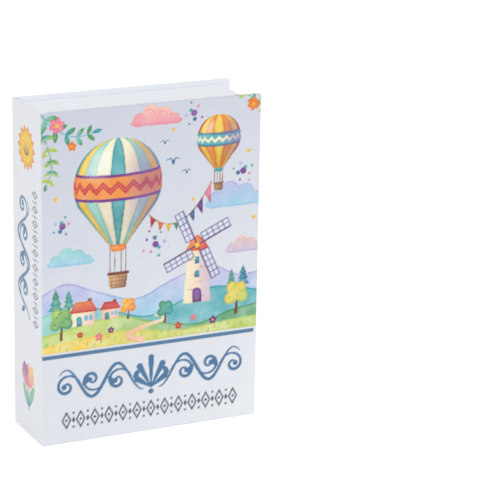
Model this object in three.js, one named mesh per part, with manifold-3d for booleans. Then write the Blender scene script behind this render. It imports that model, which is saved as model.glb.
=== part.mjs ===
// A keyed steel box dressed as a hardcover book, in millimetres, +Z up.
// The book stands on its tail: spine towards -X, front cover towards -Y, head towards +Z.
// Inside the book group, x runs from the spine's outer face, y from the front cover's outer face
// and z from the tail edge of the boards.

import * as THREE from "three";
import { mergeVertices } from "three/addons/utils/BufferGeometryUtils.js";
import Module from "manifold-3d";

const wasm = await Module();
wasm.setup();

// Driving dimensions of the book
const HEIGHT = 185;
const WIDTH = 128;
const THICKNESS = 42;

// Boards and papers of the case
const PAPER_T = 0.3;
const COVER_BOARD_T = 2.4;
const SPINE_BOARD_T = 1;
const END_SQUARE = 2.5; // boards stand past the page block at head and tail
const FORE_SQUARE = 4; // and at the fore-edge
const TURN_IN = 4; // cover paper seen on the inner side of a board
const SPINE_TURN_IN = 12;
const BOARD_CORNER_R = 0.8;
const SPINE_CORNER_R = 0.8;
const JOINT_EDGE = 4.4; // spine face to the near edge of the front board
const REAR_JOINT = 0.6; // spine lining to the near edge of the back board
const JOINT_DIP = 0.1; // depth of the pressed groove
const JOINT_SLOPE = 0.6; // run of each side of the groove
const JOINT_BEND_R = 2.5;
const COVER_CLEARANCE = 0.4; // closed front cover to page block

// Page block moulding
const SPINE_GAP = 1.9; // spine lining to hinge leaf
const PAGE_WALL = 1.5;
const PAGE_LIP = 0.8; // thickness of the lip over the box rim
const PAGE_END_GAP = 0.3; // spine lining to the ends of the moulding
const GROOVE_COUNT = 8;
const GROOVE_WIDTH = 0.6;
const GROOVE_DEPTH = 0.35;

// Folded steel box
const BOX_SHEET = 0.8;
const BOX_CORNER_R = 2;

// Full-length hinge
const LEAF_T = 0.8;
const LEAF_WIDTH = 12;
const PIN_R = 1;
const PIN_CLEARANCE = 0.08;
const KNUCKLE_COUNT = 16;
const KNUCKLE_GAP = 0.3; // between neighbouring knuckles, and round the barrel
const KNUCKLE_WRAP = THREE.MathUtils.degToRad(300);
const HINGE_TOP_GAP = 0.5; // closed front cover to hinge
const PIN_OVERHANG = 0.2; // pin past the last knuckle at each end

// Lid
const LID_SHEET = 1;
const LID_SIDE_CLEARANCE = 0.6;
const LID_EDGE_CLEARANCE = 0.7;
const LID_STEP = 6; // main panel down to the lock band
const LID_STEP_RUN = 15;
const LOCK_BAND = 32; // lock band, rolled edge included
const LID_BEND_R = 1.6; // radius of a bend at mid-sheet
const FLANGE_START = 2; // rear edge of the lid to its side flanges
const CURL_WRAP = THREE.MathUtils.degToRad(225);

// Channel inside the fore-edge wall
const STRIKE_SHEET = 1;
const STRIKE_WIDTH = 9;
const STRIKE_DEPTH = 9.2;
const STRIKE_REST_GAP = 0.3; // closed lid to channel
const STRIKE_END_GAP = 1.4;
const STRIKE_BEND_R = 1.2;

// Rivets between page block and end walls
const RIVETS_PER_WALL = 3;
const RIVET_MARGIN = 10; // first and last rivet to the wall beside it
const RIVET_DEPTH = 15.5; // below the rim of the page block
const RIVET_SHANK_R = 1.2;
const RIVET_HEAD_R = 2.1;
const RIVET_HEAD_T = 0.9;
const RIVET_BITE = 0.9; // into the moulding
const RIVET_CLEARANCE = 0.1;

// Cam lock
const LOCK_FROM_EDGE = 19.5; // lock axis to the lid's free edge
const LOCK_HEAD_RIM = 1.5; // head past the barrel
const LOCK_HEAD_T = 2.2;
const LOCK_HEAD_CHAMFER = 0.7;
const LOCK_BARREL_R = 8;
const LOCK_BARREL_LENGTH = 10.6; // from under the head
const LOCK_FLAT_DEPTH = 1.4; // cut off each side of the barrel
const LOCK_HOLE_CLEARANCE = 0.15;
const LOCK_BARREL_WALL = 2.5;
const PLUG_CLEARANCE = 0.1;
const PLUG_FACE_RIM = 1.1; // plug face past the plug
const PLUG_FACE_T = 1.4;
const PLUG_FACE_SINK = 0.3; // plug face below the head's face
const PLUG_STANDOFF = 0.1; // plug past the rear of the barrel
const TAIL_SIDE = 6;
const TAIL_SHORT = 0.1; // tail stays inside the cam
const KEYWAY_WIDTH = 2.2;
const KEYWAY_HEIGHT = 8;
const KEYWAY_DEPTH = 7;
const WASHER_RIM = 2.4; // washer past the barrel
const WASHER_T = 0.8;
const NUT_WALL = 1.5; // barrel to each flat of the hexagon
const NUT_T = 3;
const NUT_CHAMFER = 0.8;
const THREAD_CLEARANCE = 0.1;
const CAM_T = 1.6;
const CAM_GAP = 0.3; // rear of the barrel to the cam
const CAM_HUB_R = 8;
const CAM_TIP_R = 6;
const CAM_TIP_OFFSET = 11; // axis to the centre of the tip
const CAM_HOLE_CLEARANCE = 0.1;
const CAM_WASHER_R = 4.6;
const CAM_WASHER_T = 0.8;
const SCREW_R = 1.5;
const SCREW_LENGTH = 6; // under the head
const SCREW_CLEARANCE = 0.1;
const SCREW_HEAD_R = 3.8;
const SCREW_HEAD_T = 2.2;
const SCREW_SLOT_WIDTH = 1;
const SCREW_SLOT_DEPTH = 1.1;

// Facets and the overrun of cuts and joins
const ARC_STEPS = 4; // a curve has twice as many segments
const ROLL_STEPS = 9; // the same for a knuckle or a rolled edge
const ROUND_SIDES = 32;
const SMALL_SIDES = 16;
const OVERRUN = 0.5;
const SAME_POINT = 1e-6; // points nearer than this are one
const GRID = 1 / 1024; // corners lie on this grid, so that flush faces stay flush after cuts

// Levels across the thickness
const coverT = COVER_BOARD_T + 2 * PAPER_T;
const spineT = SPINE_BOARD_T + 2 * PAPER_T;
const rimY = coverT + COVER_CLEARANCE;
const boxRimY = rimY + PAGE_LIP;
const backY = THICKNESS - coverT;
const boxFloorY = backY - BOX_SHEET;

// Places along the width
const rearEdgeX = spineT + REAR_JOINT;
const blockX = spineT + PAGE_END_GAP;
const leafX = spineT + SPINE_GAP;
const boxX = leafX + LEAF_T;
const boxInnerX = boxX + BOX_SHEET;
const blockForeX = WIDTH - FORE_SQUARE;
const boxForeX = blockForeX - PAGE_WALL;
const boxInnerForeX = boxForeX - BOX_SHEET;

// Places along the height
const blockTailZ = END_SQUARE;
const blockHeadZ = HEIGHT - END_SQUARE;
const boxTailZ = blockTailZ + PAGE_WALL;
const boxHeadZ = blockHeadZ - PAGE_WALL;
const boxInnerTailZ = boxTailZ + BOX_SHEET;
const boxInnerHeadZ = boxHeadZ - BOX_SHEET;
const lidTailZ = boxInnerTailZ + LID_SIDE_CLEARANCE;
const lidHeadZ = boxInnerHeadZ - LID_SIDE_CLEARANCE;

// Hinge
const knuckleR = PIN_R + PIN_CLEARANCE + LEAF_T;
const leafBendR = knuckleR - LEAF_T / 2;
const hingeX = leafX + knuckleR;
const hingeTopY = coverT + HINGE_TOP_GAP;
const hingeY = hingeTopY + knuckleR;
const barrelRimY = hingeY + knuckleR + KNUCKLE_GAP; // rim of the rear wall under the barrel
const lidRearX = hingeX + knuckleR + KNUCKLE_GAP;

// Lid levels
const lidOuterY = hingeTopY + LEAF_T;
const lidMidY = lidOuterY + LID_SHEET / 2;
const bandOuterY = lidOuterY + LID_STEP;
const bandMidY = lidMidY + LID_STEP;
const bandInnerY = bandOuterY + LID_SHEET;
const lidForeX = boxInnerForeX - LID_EDGE_CLEARANCE;
const bandX = lidForeX - LOCK_BAND;
const stepX = bandX - LID_STEP_RUN;

// Lock places
const lockX = lidForeX - LOCK_FROM_EDGE;
const lockZ = HEIGHT / 2;
const headFaceY = bandOuterY - LOCK_HEAD_T;
const barrelEndY = bandOuterY + LOCK_BARREL_LENGTH;
const barrelFlat = LOCK_BARREL_R - LOCK_FLAT_DEPTH;
const plugR = LOCK_BARREL_R - LOCK_BARREL_WALL;
const plugFaceR = plugR + PLUG_FACE_RIM;
const camY = barrelEndY + CAM_GAP;
const camEndY = camY + CAM_T;

// Finishes
const finish = {
  coverPaper: { color: 0xeef0f6, roughness: 0.35, metalness: 0 },
  endpaper: { color: 0xe8e9ec, roughness: 0.8, metalness: 0 },
  greyboard: { color: 0x9a968e, roughness: 0.9, metalness: 0 },
  pages: { color: 0xf2f3f5, roughness: 0.55, metalness: 0 },
  blackPaint: { color: 0x1d2026, roughness: 0.55, metalness: 0.2 },
  steel: { color: 0xb9bcc0, roughness: 0.35, metalness: 0.9 },
  zinc: { color: 0xc4c7cb, roughness: 0.3, metalness: 0.9 },
};

// Directions of extrusion: where a drawn shape's u and v and its depth point
const along = {
  x: [new THREE.Vector3(0, 1, 0), new THREE.Vector3(0, 0, 1), new THREE.Vector3(1, 0, 0)],
  y: [new THREE.Vector3(1, 0, 0), new THREE.Vector3(0, 0, 1), new THREE.Vector3(0, -1, 0)],
  z: [new THREE.Vector3(1, 0, 0), new THREE.Vector3(0, 1, 0), new THREE.Vector3(0, 0, 1)],
};

function extrude(shape, direction, from, to, steps = ARC_STEPS) {
  const geometry = new THREE.ExtrudeGeometry(shape, {
    depth: to - from,
    bevelEnabled: false,
    curveSegments: steps,
  });
  const [u, v, depth] = along[direction];
  geometry.applyMatrix4(new THREE.Matrix4().makeBasis(u, v, depth));
  const start = direction === "y" ? -to : from; // depth runs towards -Y
  return geometry.translate(depth.x * start, depth.y * start, depth.z * start);
}

function rectangle(u0, v0, u1, v1) {
  const shape = new THREE.Shape();
  shape.moveTo(u0, v0).lineTo(u1, v0).lineTo(u1, v1).lineTo(u0, v1);
  return shape;
}

// A rectangle whose corners are rounded, with square corners at its low-u end if open is true
function roundedRectangle(u0, v0, u1, v1, radius, open = false) {
  const shape = new THREE.Shape();
  if (open) {
    shape.moveTo(u0, v0).lineTo(u1 - radius, v0);
  } else {
    shape.absarc(u0 + radius, v0 + radius, radius, Math.PI, Math.PI * 1.5);
  }
  shape.absarc(u1 - radius, v0 + radius, radius, Math.PI * 1.5, Math.PI * 2);
  shape.absarc(u1 - radius, v1 - radius, radius, 0, Math.PI / 2);
  if (open) {
    shape.lineTo(u0, v1);
  } else {
    shape.absarc(u0 + radius, v1 - radius, radius, Math.PI / 2, Math.PI);
  }
  return shape;
}

// A line through the corners whose inner corners are arcs of one radius
function bentLine(corners, radius) {
  const path = new THREE.Path();
  path.moveTo(...corners[0]);
  for (let i = 1; i < corners.length - 1; i++) {
    const [before, corner, after] = [i - 1, i, i + 1].map((k) => new THREE.Vector2(...corners[k]));
    const incoming = corner.clone().sub(before).normalize();
    const outgoing = after.clone().sub(corner).normalize();
    const side = Math.sign(incoming.cross(outgoing));
    const turn = Math.acos(THREE.MathUtils.clamp(incoming.dot(outgoing), -1, 1));
    const start = corner.clone().addScaledVector(incoming, -radius * Math.tan(turn / 2));
    const towards = new THREE.Vector2(-incoming.y, incoming.x).multiplyScalar(side);
    const centre = start.clone().addScaledVector(towards, radius);
    const from = Math.atan2(-towards.y, -towards.x);
    path.lineTo(start.x, start.y);
    path.absarc(centre.x, centre.y, radius, from, from + side * turn, side < 0);
  }
  path.lineTo(...corners.at(-1));
  return path;
}

// The outline of a sheet that follows a mid-line
function sheetShape(path, thickness, steps = ARC_STEPS) {
  const points = path.getPoints(steps);
  const line = points.filter((p, i) => i === 0 || p.distanceTo(points[i - 1]) > SAME_POINT);
  const normalAt = (i) => {
    const before = line[Math.max(i - 1, 0)];
    const after = line[Math.min(i + 1, line.length - 1)];
    const here = line[i];
    const incoming = i === 0 ? after.clone().sub(here) : here.clone().sub(before);
    const outgoing = i === line.length - 1 ? incoming : after.clone().sub(here);
    const a = incoming.clone().normalize();
    const b = outgoing.clone().normalize();
    const normal = new THREE.Vector2(-(a.y + b.y), a.x + b.x).normalize();
    return normal.multiplyScalar(1 / normal.dot(new THREE.Vector2(-a.y, a.x)));
  };
  const offset = (distance) => line.map((p, i) => p.clone().addScaledVector(normalAt(i), distance));
  return new THREE.Shape([...offset(-thickness / 2), ...offset(thickness / 2).reverse()]);
}

function circle(u, v, radius) {
  const shape = new THREE.Shape();
  shape.absarc(u, v, radius, 0, Math.PI * 2);
  return shape;
}

// A turned solid on the Y axis from points of radius and height; a ring closes on itself
function turned(points, sides = ROUND_SIDES) {
  return new THREE.LatheGeometry(
    points.map(([radius, y]) => new THREE.Vector2(radius, y)),
    sides,
  );
}

function ring(inner, outer, from, to, sides = ROUND_SIDES) {
  return turned([[inner, from], [outer, from], [outer, to], [inner, to], [inner, from]], sides);
}

function disc(radius, from, to, sides = ROUND_SIDES) {
  return turned([[0, from], [radius, from], [radius, to], [0, to]], sides);
}

function snap(geometry) {
  const places = geometry.attributes.position;
  for (let i = 0; i < places.count; i++) {
    const [x, y, z] = [places.getX(i), places.getY(i), places.getZ(i)];
    places.setXYZ(i, ...[x, y, z].map((value) => Math.round(value / GRID) * GRID));
  }
  return geometry;
}

// Closed geometry to a solid and back, for cuts and joins
function solid(geometry) {
  const bare = snap(geometry.clone());
  bare.deleteAttribute("normal");
  bare.deleteAttribute("uv");
  const merged = mergeVertices(bare);
  return new wasm.Manifold(
    new wasm.Mesh({
      numProp: 3,
      vertProperties: merged.attributes.position.array,
      triVerts: new Uint32Array(merged.index.array),
    }),
  );
}

function geometryOf(body) {
  const { numProp, vertProperties, triVerts } = body.getMesh();
  const geometry = new THREE.BufferGeometry();
  const buffer = new THREE.InterleavedBuffer(vertProperties, numProp);
  geometry.setAttribute("position", new THREE.InterleavedBufferAttribute(buffer, 3, 0));
  geometry.setIndex(new THREE.BufferAttribute(triVerts, 1));
  const flat = geometry.toNonIndexed();
  flat.computeVertexNormals();
  return flat;
}

function join(...geometries) {
  return geometryOf(geometries.map(solid).reduce((whole, next) => whole.add(next)));
}

function cut(geometry, ...tools) {
  return geometryOf(tools.map(solid).reduce((rest, tool) => rest.subtract(tool), solid(geometry)));
}

function common(a, b) {
  return geometryOf(solid(a).intersect(solid(b)));
}

function piece(name, geometry, look) {
  const mesh = new THREE.Mesh(snap(geometry), new THREE.MeshStandardMaterial(look));
  mesh.name = name;
  return mesh;
}

// A board from the given edge on, with its cover paper and endpaper; depthAt turns a depth below the
// outer face into y
function coverPieces(name, edgeX, depthAt) {
  const slab = (shape, shallow, deep) => {
    const [from, to] = [depthAt(shallow), depthAt(deep)].sort((a, b) => a - b);
    return extrude(shape, "y", from, to);
  };
  const boardFace = (x, corner) =>
    roundedRectangle(x, PAPER_T, WIDTH - PAPER_T, HEIGHT - PAPER_T, corner, true);
  const window = (x) => rectangle(x, TURN_IN, WIDTH - TURN_IN, HEIGHT - TURN_IN);
  const boardInner = PAPER_T + COVER_BOARD_T;
  const paper = cut(
    slab(roundedRectangle(edgeX, 0, WIDTH, HEIGHT, BOARD_CORNER_R, true), 0, coverT),
    slab(boardFace(edgeX - OVERRUN, BOARD_CORNER_R - PAPER_T), PAPER_T, boardInner),
    slab(window(edgeX - OVERRUN), boardInner - PAPER_T / 2, coverT + OVERRUN),
  );
  const board = slab(boardFace(edgeX, BOARD_CORNER_R - PAPER_T), PAPER_T, boardInner);
  return [
    piece(`${name}_board`, board, finish.greyboard),
    piece(`${name}_cover_paper`, paper, finish.coverPaper),
    piece(`${name}_endpaper`, slab(window(edgeX), boardInner, coverT), finish.endpaper),
  ];
}

// The free paper and lining between spine and front board, with a shallow pressed groove
function coverJoint() {
  const bottom = PAPER_T + JOINT_DIP;
  const corners = [
    [spineT - JOINT_SLOPE, PAPER_T],
    [spineT, PAPER_T],
    [spineT + JOINT_SLOPE, bottom],
    [JOINT_EDGE - JOINT_SLOPE, bottom],
    [JOINT_EDGE, PAPER_T],
    [JOINT_EDGE + JOINT_SLOPE, PAPER_T],
  ];
  const line = bentLine(corners, JOINT_BEND_R);
  const strip = sheetShape(line, 2 * PAPER_T);
  const room = rectangle(spineT, 0, JOINT_EDGE, coverT);
  const body = common(extrude(strip, "z", PAPER_T, HEIGHT - PAPER_T), extrude(room, "z", 0, HEIGHT));
  return piece("cover_joint", body, finish.coverPaper);
}

function spinePieces() {
  const mid = PAPER_T / 2;
  const corners = [
    [spineT, mid],
    [mid, mid],
    [mid, THICKNESS - mid],
    [rearEdgeX + OVERRUN, THICKNESS - mid],
  ];
  const strip = sheetShape(bentLine(corners, SPINE_CORNER_R - mid), PAPER_T);
  const skin = common(
    extrude(strip, "z", 0, HEIGHT),
    extrude(rectangle(0, 0, rearEdgeX, THICKNESS), "z", 0, HEIGHT),
  );
  const boardShape = roundedRectangle(
    PAPER_T,
    PAPER_T,
    spineT + SPINE_CORNER_R,
    THICKNESS - PAPER_T,
    SPINE_CORNER_R - PAPER_T,
  );
  const boardInner = spineT - PAPER_T;
  const board = common(
    extrude(boardShape, "z", PAPER_T, HEIGHT - PAPER_T),
    extrude(rectangle(0, 0, boardInner, THICKNESS), "z", 0, HEIGHT),
  );
  const lining = extrude(
    rectangle(boardInner, PAPER_T, spineT, THICKNESS - PAPER_T),
    "z",
    SPINE_TURN_IN,
    HEIGHT - SPINE_TURN_IN,
  );
  const turnedIn = common(
    extrude(boardShape, "z", 0, HEIGHT),
    extrude(rectangle(0, 0, spineT, THICKNESS), "z", 0, HEIGHT),
  );
  const paper = cut(join(turnedIn, skin), board, lining);
  return [
    piece("spine_board", board, finish.greyboard),
    piece("spine_paper", paper, finish.coverPaper),
    piece("spine_lining", lining, finish.endpaper),
  ];
}

// Section of the page moulding: u is the distance out from the steel wall, v is y
function pageSection() {
  const points = [
    [0, backY],
    [0, boxRimY],
    [-BOX_SHEET, boxRimY],
    [-BOX_SHEET, rimY],
    [PAGE_WALL, rimY],
  ];
  const pitch = (backY - rimY) / (GROOVE_COUNT + 1);
  for (let i = 1; i <= GROOVE_COUNT; i++) {
    const y = rimY + i * pitch;
    points.push([PAGE_WALL, y - GROOVE_WIDTH / 2]);
    points.push([PAGE_WALL - GROOVE_DEPTH, y]);
    points.push([PAGE_WALL, y + GROOVE_WIDTH / 2]);
  }
  points.push([PAGE_WALL, backY]);
  return points;
}

// Places along the steel wall from the tail round the fore-edge to the head, each with its outward normal
function wallStations() {
  const stations = [{ x: blockX, z: boxTailZ, nx: 0, nz: -1 }];
  const corners = [
    { z: boxTailZ + BOX_CORNER_R, from: -Math.PI / 2 },
    { z: boxHeadZ - BOX_CORNER_R, from: 0 },
  ];
  const segments = 2 * ARC_STEPS;
  for (const corner of corners) {
    for (let i = 0; i <= segments; i++) {
      const angle = corner.from + (Math.PI / 2) * (i / segments);
      const [nx, nz] = [Math.cos(angle), Math.sin(angle)];
      stations.push({
        x: boxForeX - BOX_CORNER_R + BOX_CORNER_R * nx,
        z: corner.z + BOX_CORNER_R * nz,
        nx,
        nz,
      });
    }
  }
  stations.push({ x: blockX, z: boxHeadZ, nx: 0, nz: 1 });
  return stations;
}

// Sweeps a closed section round the stations and closes both ends
function sweep(section, stations) {
  const position = [];
  for (const { x, z, nx, nz } of stations) {
    for (const [u, y] of section) {
      position.push(x + nx * u, y, z + nz * u);
    }
  }
  const index = [];
  const count = section.length;
  for (let s = 0; s < stations.length - 1; s++) {
    for (let i = 0; i < count; i++) {
      const next = (i + 1) % count;
      const [here, there] = [s * count, (s + 1) * count];
      index.push(here + i, here + next, there + next);
      index.push(here + i, there + next, there + i);
    }
  }
  const last = (stations.length - 1) * count;
  const outline = section.map(([u, y]) => new THREE.Vector2(u, y));
  for (const [a, b, c] of THREE.ShapeUtils.triangulateShape(outline, [])) {
    index.push(a, c, b);
    index.push(last + a, last + b, last + c);
  }
  const geometry = new THREE.BufferGeometry();
  geometry.setAttribute("position", new THREE.Float32BufferAttribute(position, 3));
  geometry.setIndex(index);
  return geometry;
}

// Where the rivets go: one entry for each, with the wall's inner face and the way out of the box
function rivetPlaces() {
  const first = boxInnerX + RIVET_MARGIN;
  const pitch = (boxInnerForeX - RIVET_MARGIN - first) / (RIVETS_PER_WALL - 1);
  const walls = [
    { z: boxInnerTailZ, out: -1 },
    { z: boxInnerHeadZ, out: 1 },
  ];
  return walls.flatMap((wall) =>
    Array.from({ length: RIVETS_PER_WALL }, (_, i) => ({ x: first + i * pitch, ...wall })),
  );
}

// Turns a solid on the Y axis so that its height points out of the box at a rivet's place
function atRivet(geometry, { x, z, out }) {
  return geometry.rotateX((out * Math.PI) / 2).translate(x, rimY + RIVET_DEPTH, z);
}

function pageBlock() {
  const holeR = RIVET_SHANK_R + RIVET_CLEARANCE;
  const holeEnd = BOX_SHEET + RIVET_BITE + RIVET_CLEARANCE;
  const pocket = (place) => atRivet(disc(holeR, 0, holeEnd, SMALL_SIDES), place);
  const shell = sweep(pageSection(), wallStations());
  return piece("page_block", cut(shell, ...rivetPlaces().map(pocket)), finish.pages);
}

function pageRivets() {
  const dome = Array.from({ length: ARC_STEPS }, (_, i) => {
    const angle = (Math.PI / 2) * (i / ARC_STEPS);
    return [RIVET_HEAD_R * Math.sin(angle), -RIVET_HEAD_T * Math.cos(angle)];
  });
  const profile = [
    ...dome,
    [RIVET_HEAD_R, 0],
    [RIVET_SHANK_R, 0],
    [RIVET_SHANK_R, BOX_SHEET + RIVET_BITE],
    [0, BOX_SHEET + RIVET_BITE],
  ];
  return rivetPlaces().map((place, i) =>
    piece(`page_rivet_${i + 1}`, atRivet(turned(profile, SMALL_SIDES), place), finish.steel),
  );
}

function steelBox() {
  const outer = roundedRectangle(boxX, boxTailZ, boxForeX, boxHeadZ, BOX_CORNER_R);
  const inner = roundedRectangle(
    boxInnerX,
    boxInnerTailZ,
    boxInnerForeX,
    boxInnerHeadZ,
    BOX_CORNER_R - BOX_SHEET,
  );
  const hingeRoom = rectangle(
    boxX - OVERRUN,
    lidTailZ - KNUCKLE_GAP,
    lidRearX,
    lidHeadZ + KNUCKLE_GAP,
  );
  const holes = rivetPlaces().map((place) =>
    atRivet(disc(RIVET_SHANK_R + RIVET_CLEARANCE, -OVERRUN, BOX_SHEET + OVERRUN, SMALL_SIDES), place),
  );
  const tray = cut(
    extrude(outer, "y", boxRimY, backY),
    extrude(inner, "y", boxRimY - OVERRUN, boxFloorY),
    extrude(hingeRoom, "y", boxRimY - OVERRUN, barrelRimY),
    ...holes,
  );
  return piece("steel_box", tray, finish.blackPaint);
}

// An inverted channel whose top carries the closed lid and whose inner leg stops the cam
function strikeChannel() {
  const half = STRIKE_SHEET / 2;
  const top = bandInnerY + STRIKE_REST_GAP;
  const [innerX, outerX] = [boxInnerForeX - STRIKE_WIDTH + half, boxInnerForeX - half];
  const line = bentLine(
    [
      [innerX, top + STRIKE_DEPTH],
      [innerX, top + half],
      [outerX, top + half],
      [outerX, top + STRIKE_DEPTH],
    ],
    STRIKE_BEND_R,
  );
  const [from, to] = [boxInnerTailZ + STRIKE_END_GAP, boxInnerHeadZ - STRIKE_END_GAP];
  return piece("strike_channel", extrude(sheetShape(line, STRIKE_SHEET), "z", from, to), finish.blackPaint);
}

// Knuckles of one leaf: every second place along the hinge, from the first given
function knuckles(section, first) {
  const pitch = (lidHeadZ - lidTailZ + KNUCKLE_GAP) / KNUCKLE_COUNT;
  const made = [];
  for (let i = first; i < KNUCKLE_COUNT; i += 2) {
    const from = lidTailZ + i * pitch;
    made.push(extrude(section, "z", from, from + pitch - KNUCKLE_GAP));
  }
  return made;
}

// The fixed leaf stands outside the rear wall and rolls over the top of it
function boxHingeLeaf() {
  const x = leafX + LEAF_T / 2;
  const line = new THREE.Path();
  line.moveTo(x, barrelRimY + OVERRUN).lineTo(x, hingeY);
  line.absarc(hingeX, hingeY, leafBendR, Math.PI, Math.PI + KNUCKLE_WRAP);
  const flat = rectangle(leafX, barrelRimY, boxX, barrelRimY + LEAF_WIDTH);
  const leaf = join(
    extrude(flat, "z", lidTailZ, lidHeadZ),
    ...knuckles(sheetShape(line, LEAF_T, ROLL_STEPS), 1),
  );
  return piece("box_hinge_leaf", leaf, finish.blackPaint);
}

// The moving leaf lies on the lid and rolls down over the rear wall
function lidHingeLeaf() {
  const y = hingeTopY + LEAF_T / 2;
  const line = new THREE.Path();
  line.moveTo(lidRearX + OVERRUN, y).lineTo(hingeX, y);
  line.absarc(hingeX, hingeY, leafBendR, -Math.PI / 2, -Math.PI / 2 - KNUCKLE_WRAP, true);
  const flat = rectangle(lidRearX, hingeTopY, lidRearX + LEAF_WIDTH, hingeTopY + LEAF_T);
  const leaf = join(
    extrude(flat, "z", lidTailZ, lidHeadZ),
    ...knuckles(sheetShape(line, LEAF_T, ROLL_STEPS), 0),
  );
  return piece("lid_hinge_leaf", leaf, finish.blackPaint);
}

function hingePin() {
  const from = lidTailZ - PIN_OVERHANG;
  const to = lidHeadZ + PIN_OVERHANG;
  const pin = extrude(circle(hingeX, hingeY, PIN_R), "z", from, to, ROLL_STEPS);
  return piece("hinge_pin", pin, finish.steel);
}

// Barrel section with two flats, drawn round the lock axis in x and z
function barrelShape(radius, flat) {
  const angle = Math.asin(flat / radius);
  const shape = new THREE.Shape();
  shape.absarc(lockX, lockZ, radius, -angle, angle);
  shape.absarc(lockX, lockZ, radius, Math.PI - angle, Math.PI + angle);
  return shape;
}

function lidPanel() {
  const curlR = LID_STEP / 2;
  const curlX = lidForeX - curlR - LID_SHEET / 2;
  const line = bentLine(
    [
      [stepX - OVERRUN, lidMidY],
      [stepX, lidMidY],
      [bandX, bandMidY],
      [curlX, bandMidY],
    ],
    LID_BEND_R,
  );
  line.absarc(curlX, bandMidY - curlR, curlR, Math.PI / 2, Math.PI / 2 - CURL_WRAP, true);
  const half = LID_SHEET / 2;
  const channel = bentLine(
    [
      [bandInnerY, lidTailZ + half],
      [lidMidY, lidTailZ + half],
      [lidMidY, lidHeadZ - half],
      [bandInnerY, lidHeadZ - half],
    ],
    LID_BEND_R,
  );
  const rear = rectangle(lidRearX, lidOuterY, lidRearX + FLANGE_START + OVERRUN, lidOuterY + LID_SHEET);
  const panel = join(
    extrude(rear, "z", lidTailZ, lidHeadZ),
    extrude(sheetShape(channel, LID_SHEET), "x", lidRearX + FLANGE_START, stepX),
    extrude(sheetShape(line, LID_SHEET, ROLL_STEPS), "z", lidTailZ, lidHeadZ),
  );
  const hole = barrelShape(LOCK_BARREL_R + LOCK_HOLE_CLEARANCE, barrelFlat + LOCK_HOLE_CLEARANCE);
  const lockHole = extrude(hole, "y", bandOuterY - OVERRUN, bandInnerY + OVERRUN);
  return piece("lid_panel", cut(panel, lockHole), finish.blackPaint);
}

function lockBody() {
  const bore = plugR + PLUG_CLEARANCE;
  const faceBore = plugFaceR + PLUG_CLEARANCE;
  const faceEnd = headFaceY + PLUG_FACE_SINK + PLUG_FACE_T + PLUG_CLEARANCE;
  const headR = LOCK_BARREL_R + LOCK_HEAD_RIM;
  const head = turned([
    [faceBore, headFaceY],
    [headR - LOCK_HEAD_CHAMFER, headFaceY],
    [headR, headFaceY + LOCK_HEAD_CHAMFER],
    [headR, bandOuterY],
    [bore, bandOuterY],
    [bore, faceEnd],
    [faceBore, faceEnd],
    [faceBore, headFaceY],
  ]).translate(lockX, 0, lockZ);
  const barrel = cut(
    extrude(barrelShape(LOCK_BARREL_R, barrelFlat), "y", faceEnd, barrelEndY),
    disc(bore, faceEnd - OVERRUN, barrelEndY + OVERRUN).translate(lockX, 0, lockZ),
  );
  return piece("lock_body", join(head, barrel), finish.zinc);
}

function lockFasteners() {
  const inner = LOCK_BARREL_R + THREAD_CLEARANCE;
  const washerR = LOCK_BARREL_R + WASHER_RIM;
  const washer = ring(inner, washerR, bandInnerY, bandInnerY + WASHER_T).translate(lockX, 0, lockZ);
  const nutY = bandInnerY + WASHER_T;
  const nutEndY = nutY + NUT_T;
  const cornerR = (LOCK_BARREL_R + NUT_WALL) / Math.cos(Math.PI / 6);
  const hexagon = new THREE.CylinderGeometry(cornerR, cornerR, NUT_T, 6).translate(0, nutY + NUT_T / 2, 0);
  const chamfered = turned([
    [0, nutY],
    [cornerR, nutY],
    [cornerR, nutEndY - NUT_CHAMFER],
    [cornerR - NUT_CHAMFER * 2, nutEndY],
    [0, nutEndY],
  ]);
  const nut = cut(common(hexagon, chamfered), disc(inner, nutY - OVERRUN, nutEndY + OVERRUN));
  return [
    piece("lock_washer", washer, finish.steel),
    piece("lock_nut", nut.translate(lockX, 0, lockZ), finish.zinc),
  ];
}

function lockPlug() {
  const faceY = headFaceY + PLUG_FACE_SINK;
  const endY = barrelEndY + PLUG_STANDOFF;
  const body = turned([
    [0, faceY],
    [plugFaceR, faceY],
    [plugFaceR, faceY + PLUG_FACE_T],
    [plugR, faceY + PLUG_FACE_T],
    [plugR, endY],
    [0, endY],
  ]);
  const half = TAIL_SIDE / 2;
  const tailEndY = camEndY - TAIL_SHORT;
  const tail = extrude(rectangle(-half, -half, half, half), "y", endY - OVERRUN, tailEndY);
  const keyway = rectangle(-KEYWAY_WIDTH / 2, -KEYWAY_HEIGHT / 2, KEYWAY_WIDTH / 2, KEYWAY_HEIGHT / 2);
  const plug = cut(
    join(body, tail),
    extrude(keyway, "y", faceY - OVERRUN, faceY + KEYWAY_DEPTH),
    disc(SCREW_R + SCREW_CLEARANCE, camEndY - SCREW_LENGTH, tailEndY + OVERRUN, SMALL_SIDES),
  );
  return piece("lock_plug", plug.translate(lockX, 0, lockZ), finish.zinc);
}

// Hub and rounded tip joined by their outer tangents; the tip points to the head of the book
function lockCam() {
  const lean = Math.asin((CAM_HUB_R - CAM_TIP_R) / CAM_TIP_OFFSET);
  const outline = new THREE.Shape();
  outline.absarc(lockX, lockZ + CAM_TIP_OFFSET, CAM_TIP_R, lean, Math.PI - lean);
  outline.absarc(lockX, lockZ, CAM_HUB_R, Math.PI - lean, Math.PI * 2 + lean);
  const half = TAIL_SIDE / 2 + CAM_HOLE_CLEARANCE;
  outline.holes.push(rectangle(lockX - half, lockZ - half, lockX + half, lockZ + half));
  return piece("lock_cam", extrude(outline, "y", camY, camEndY), finish.zinc);
}

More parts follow.
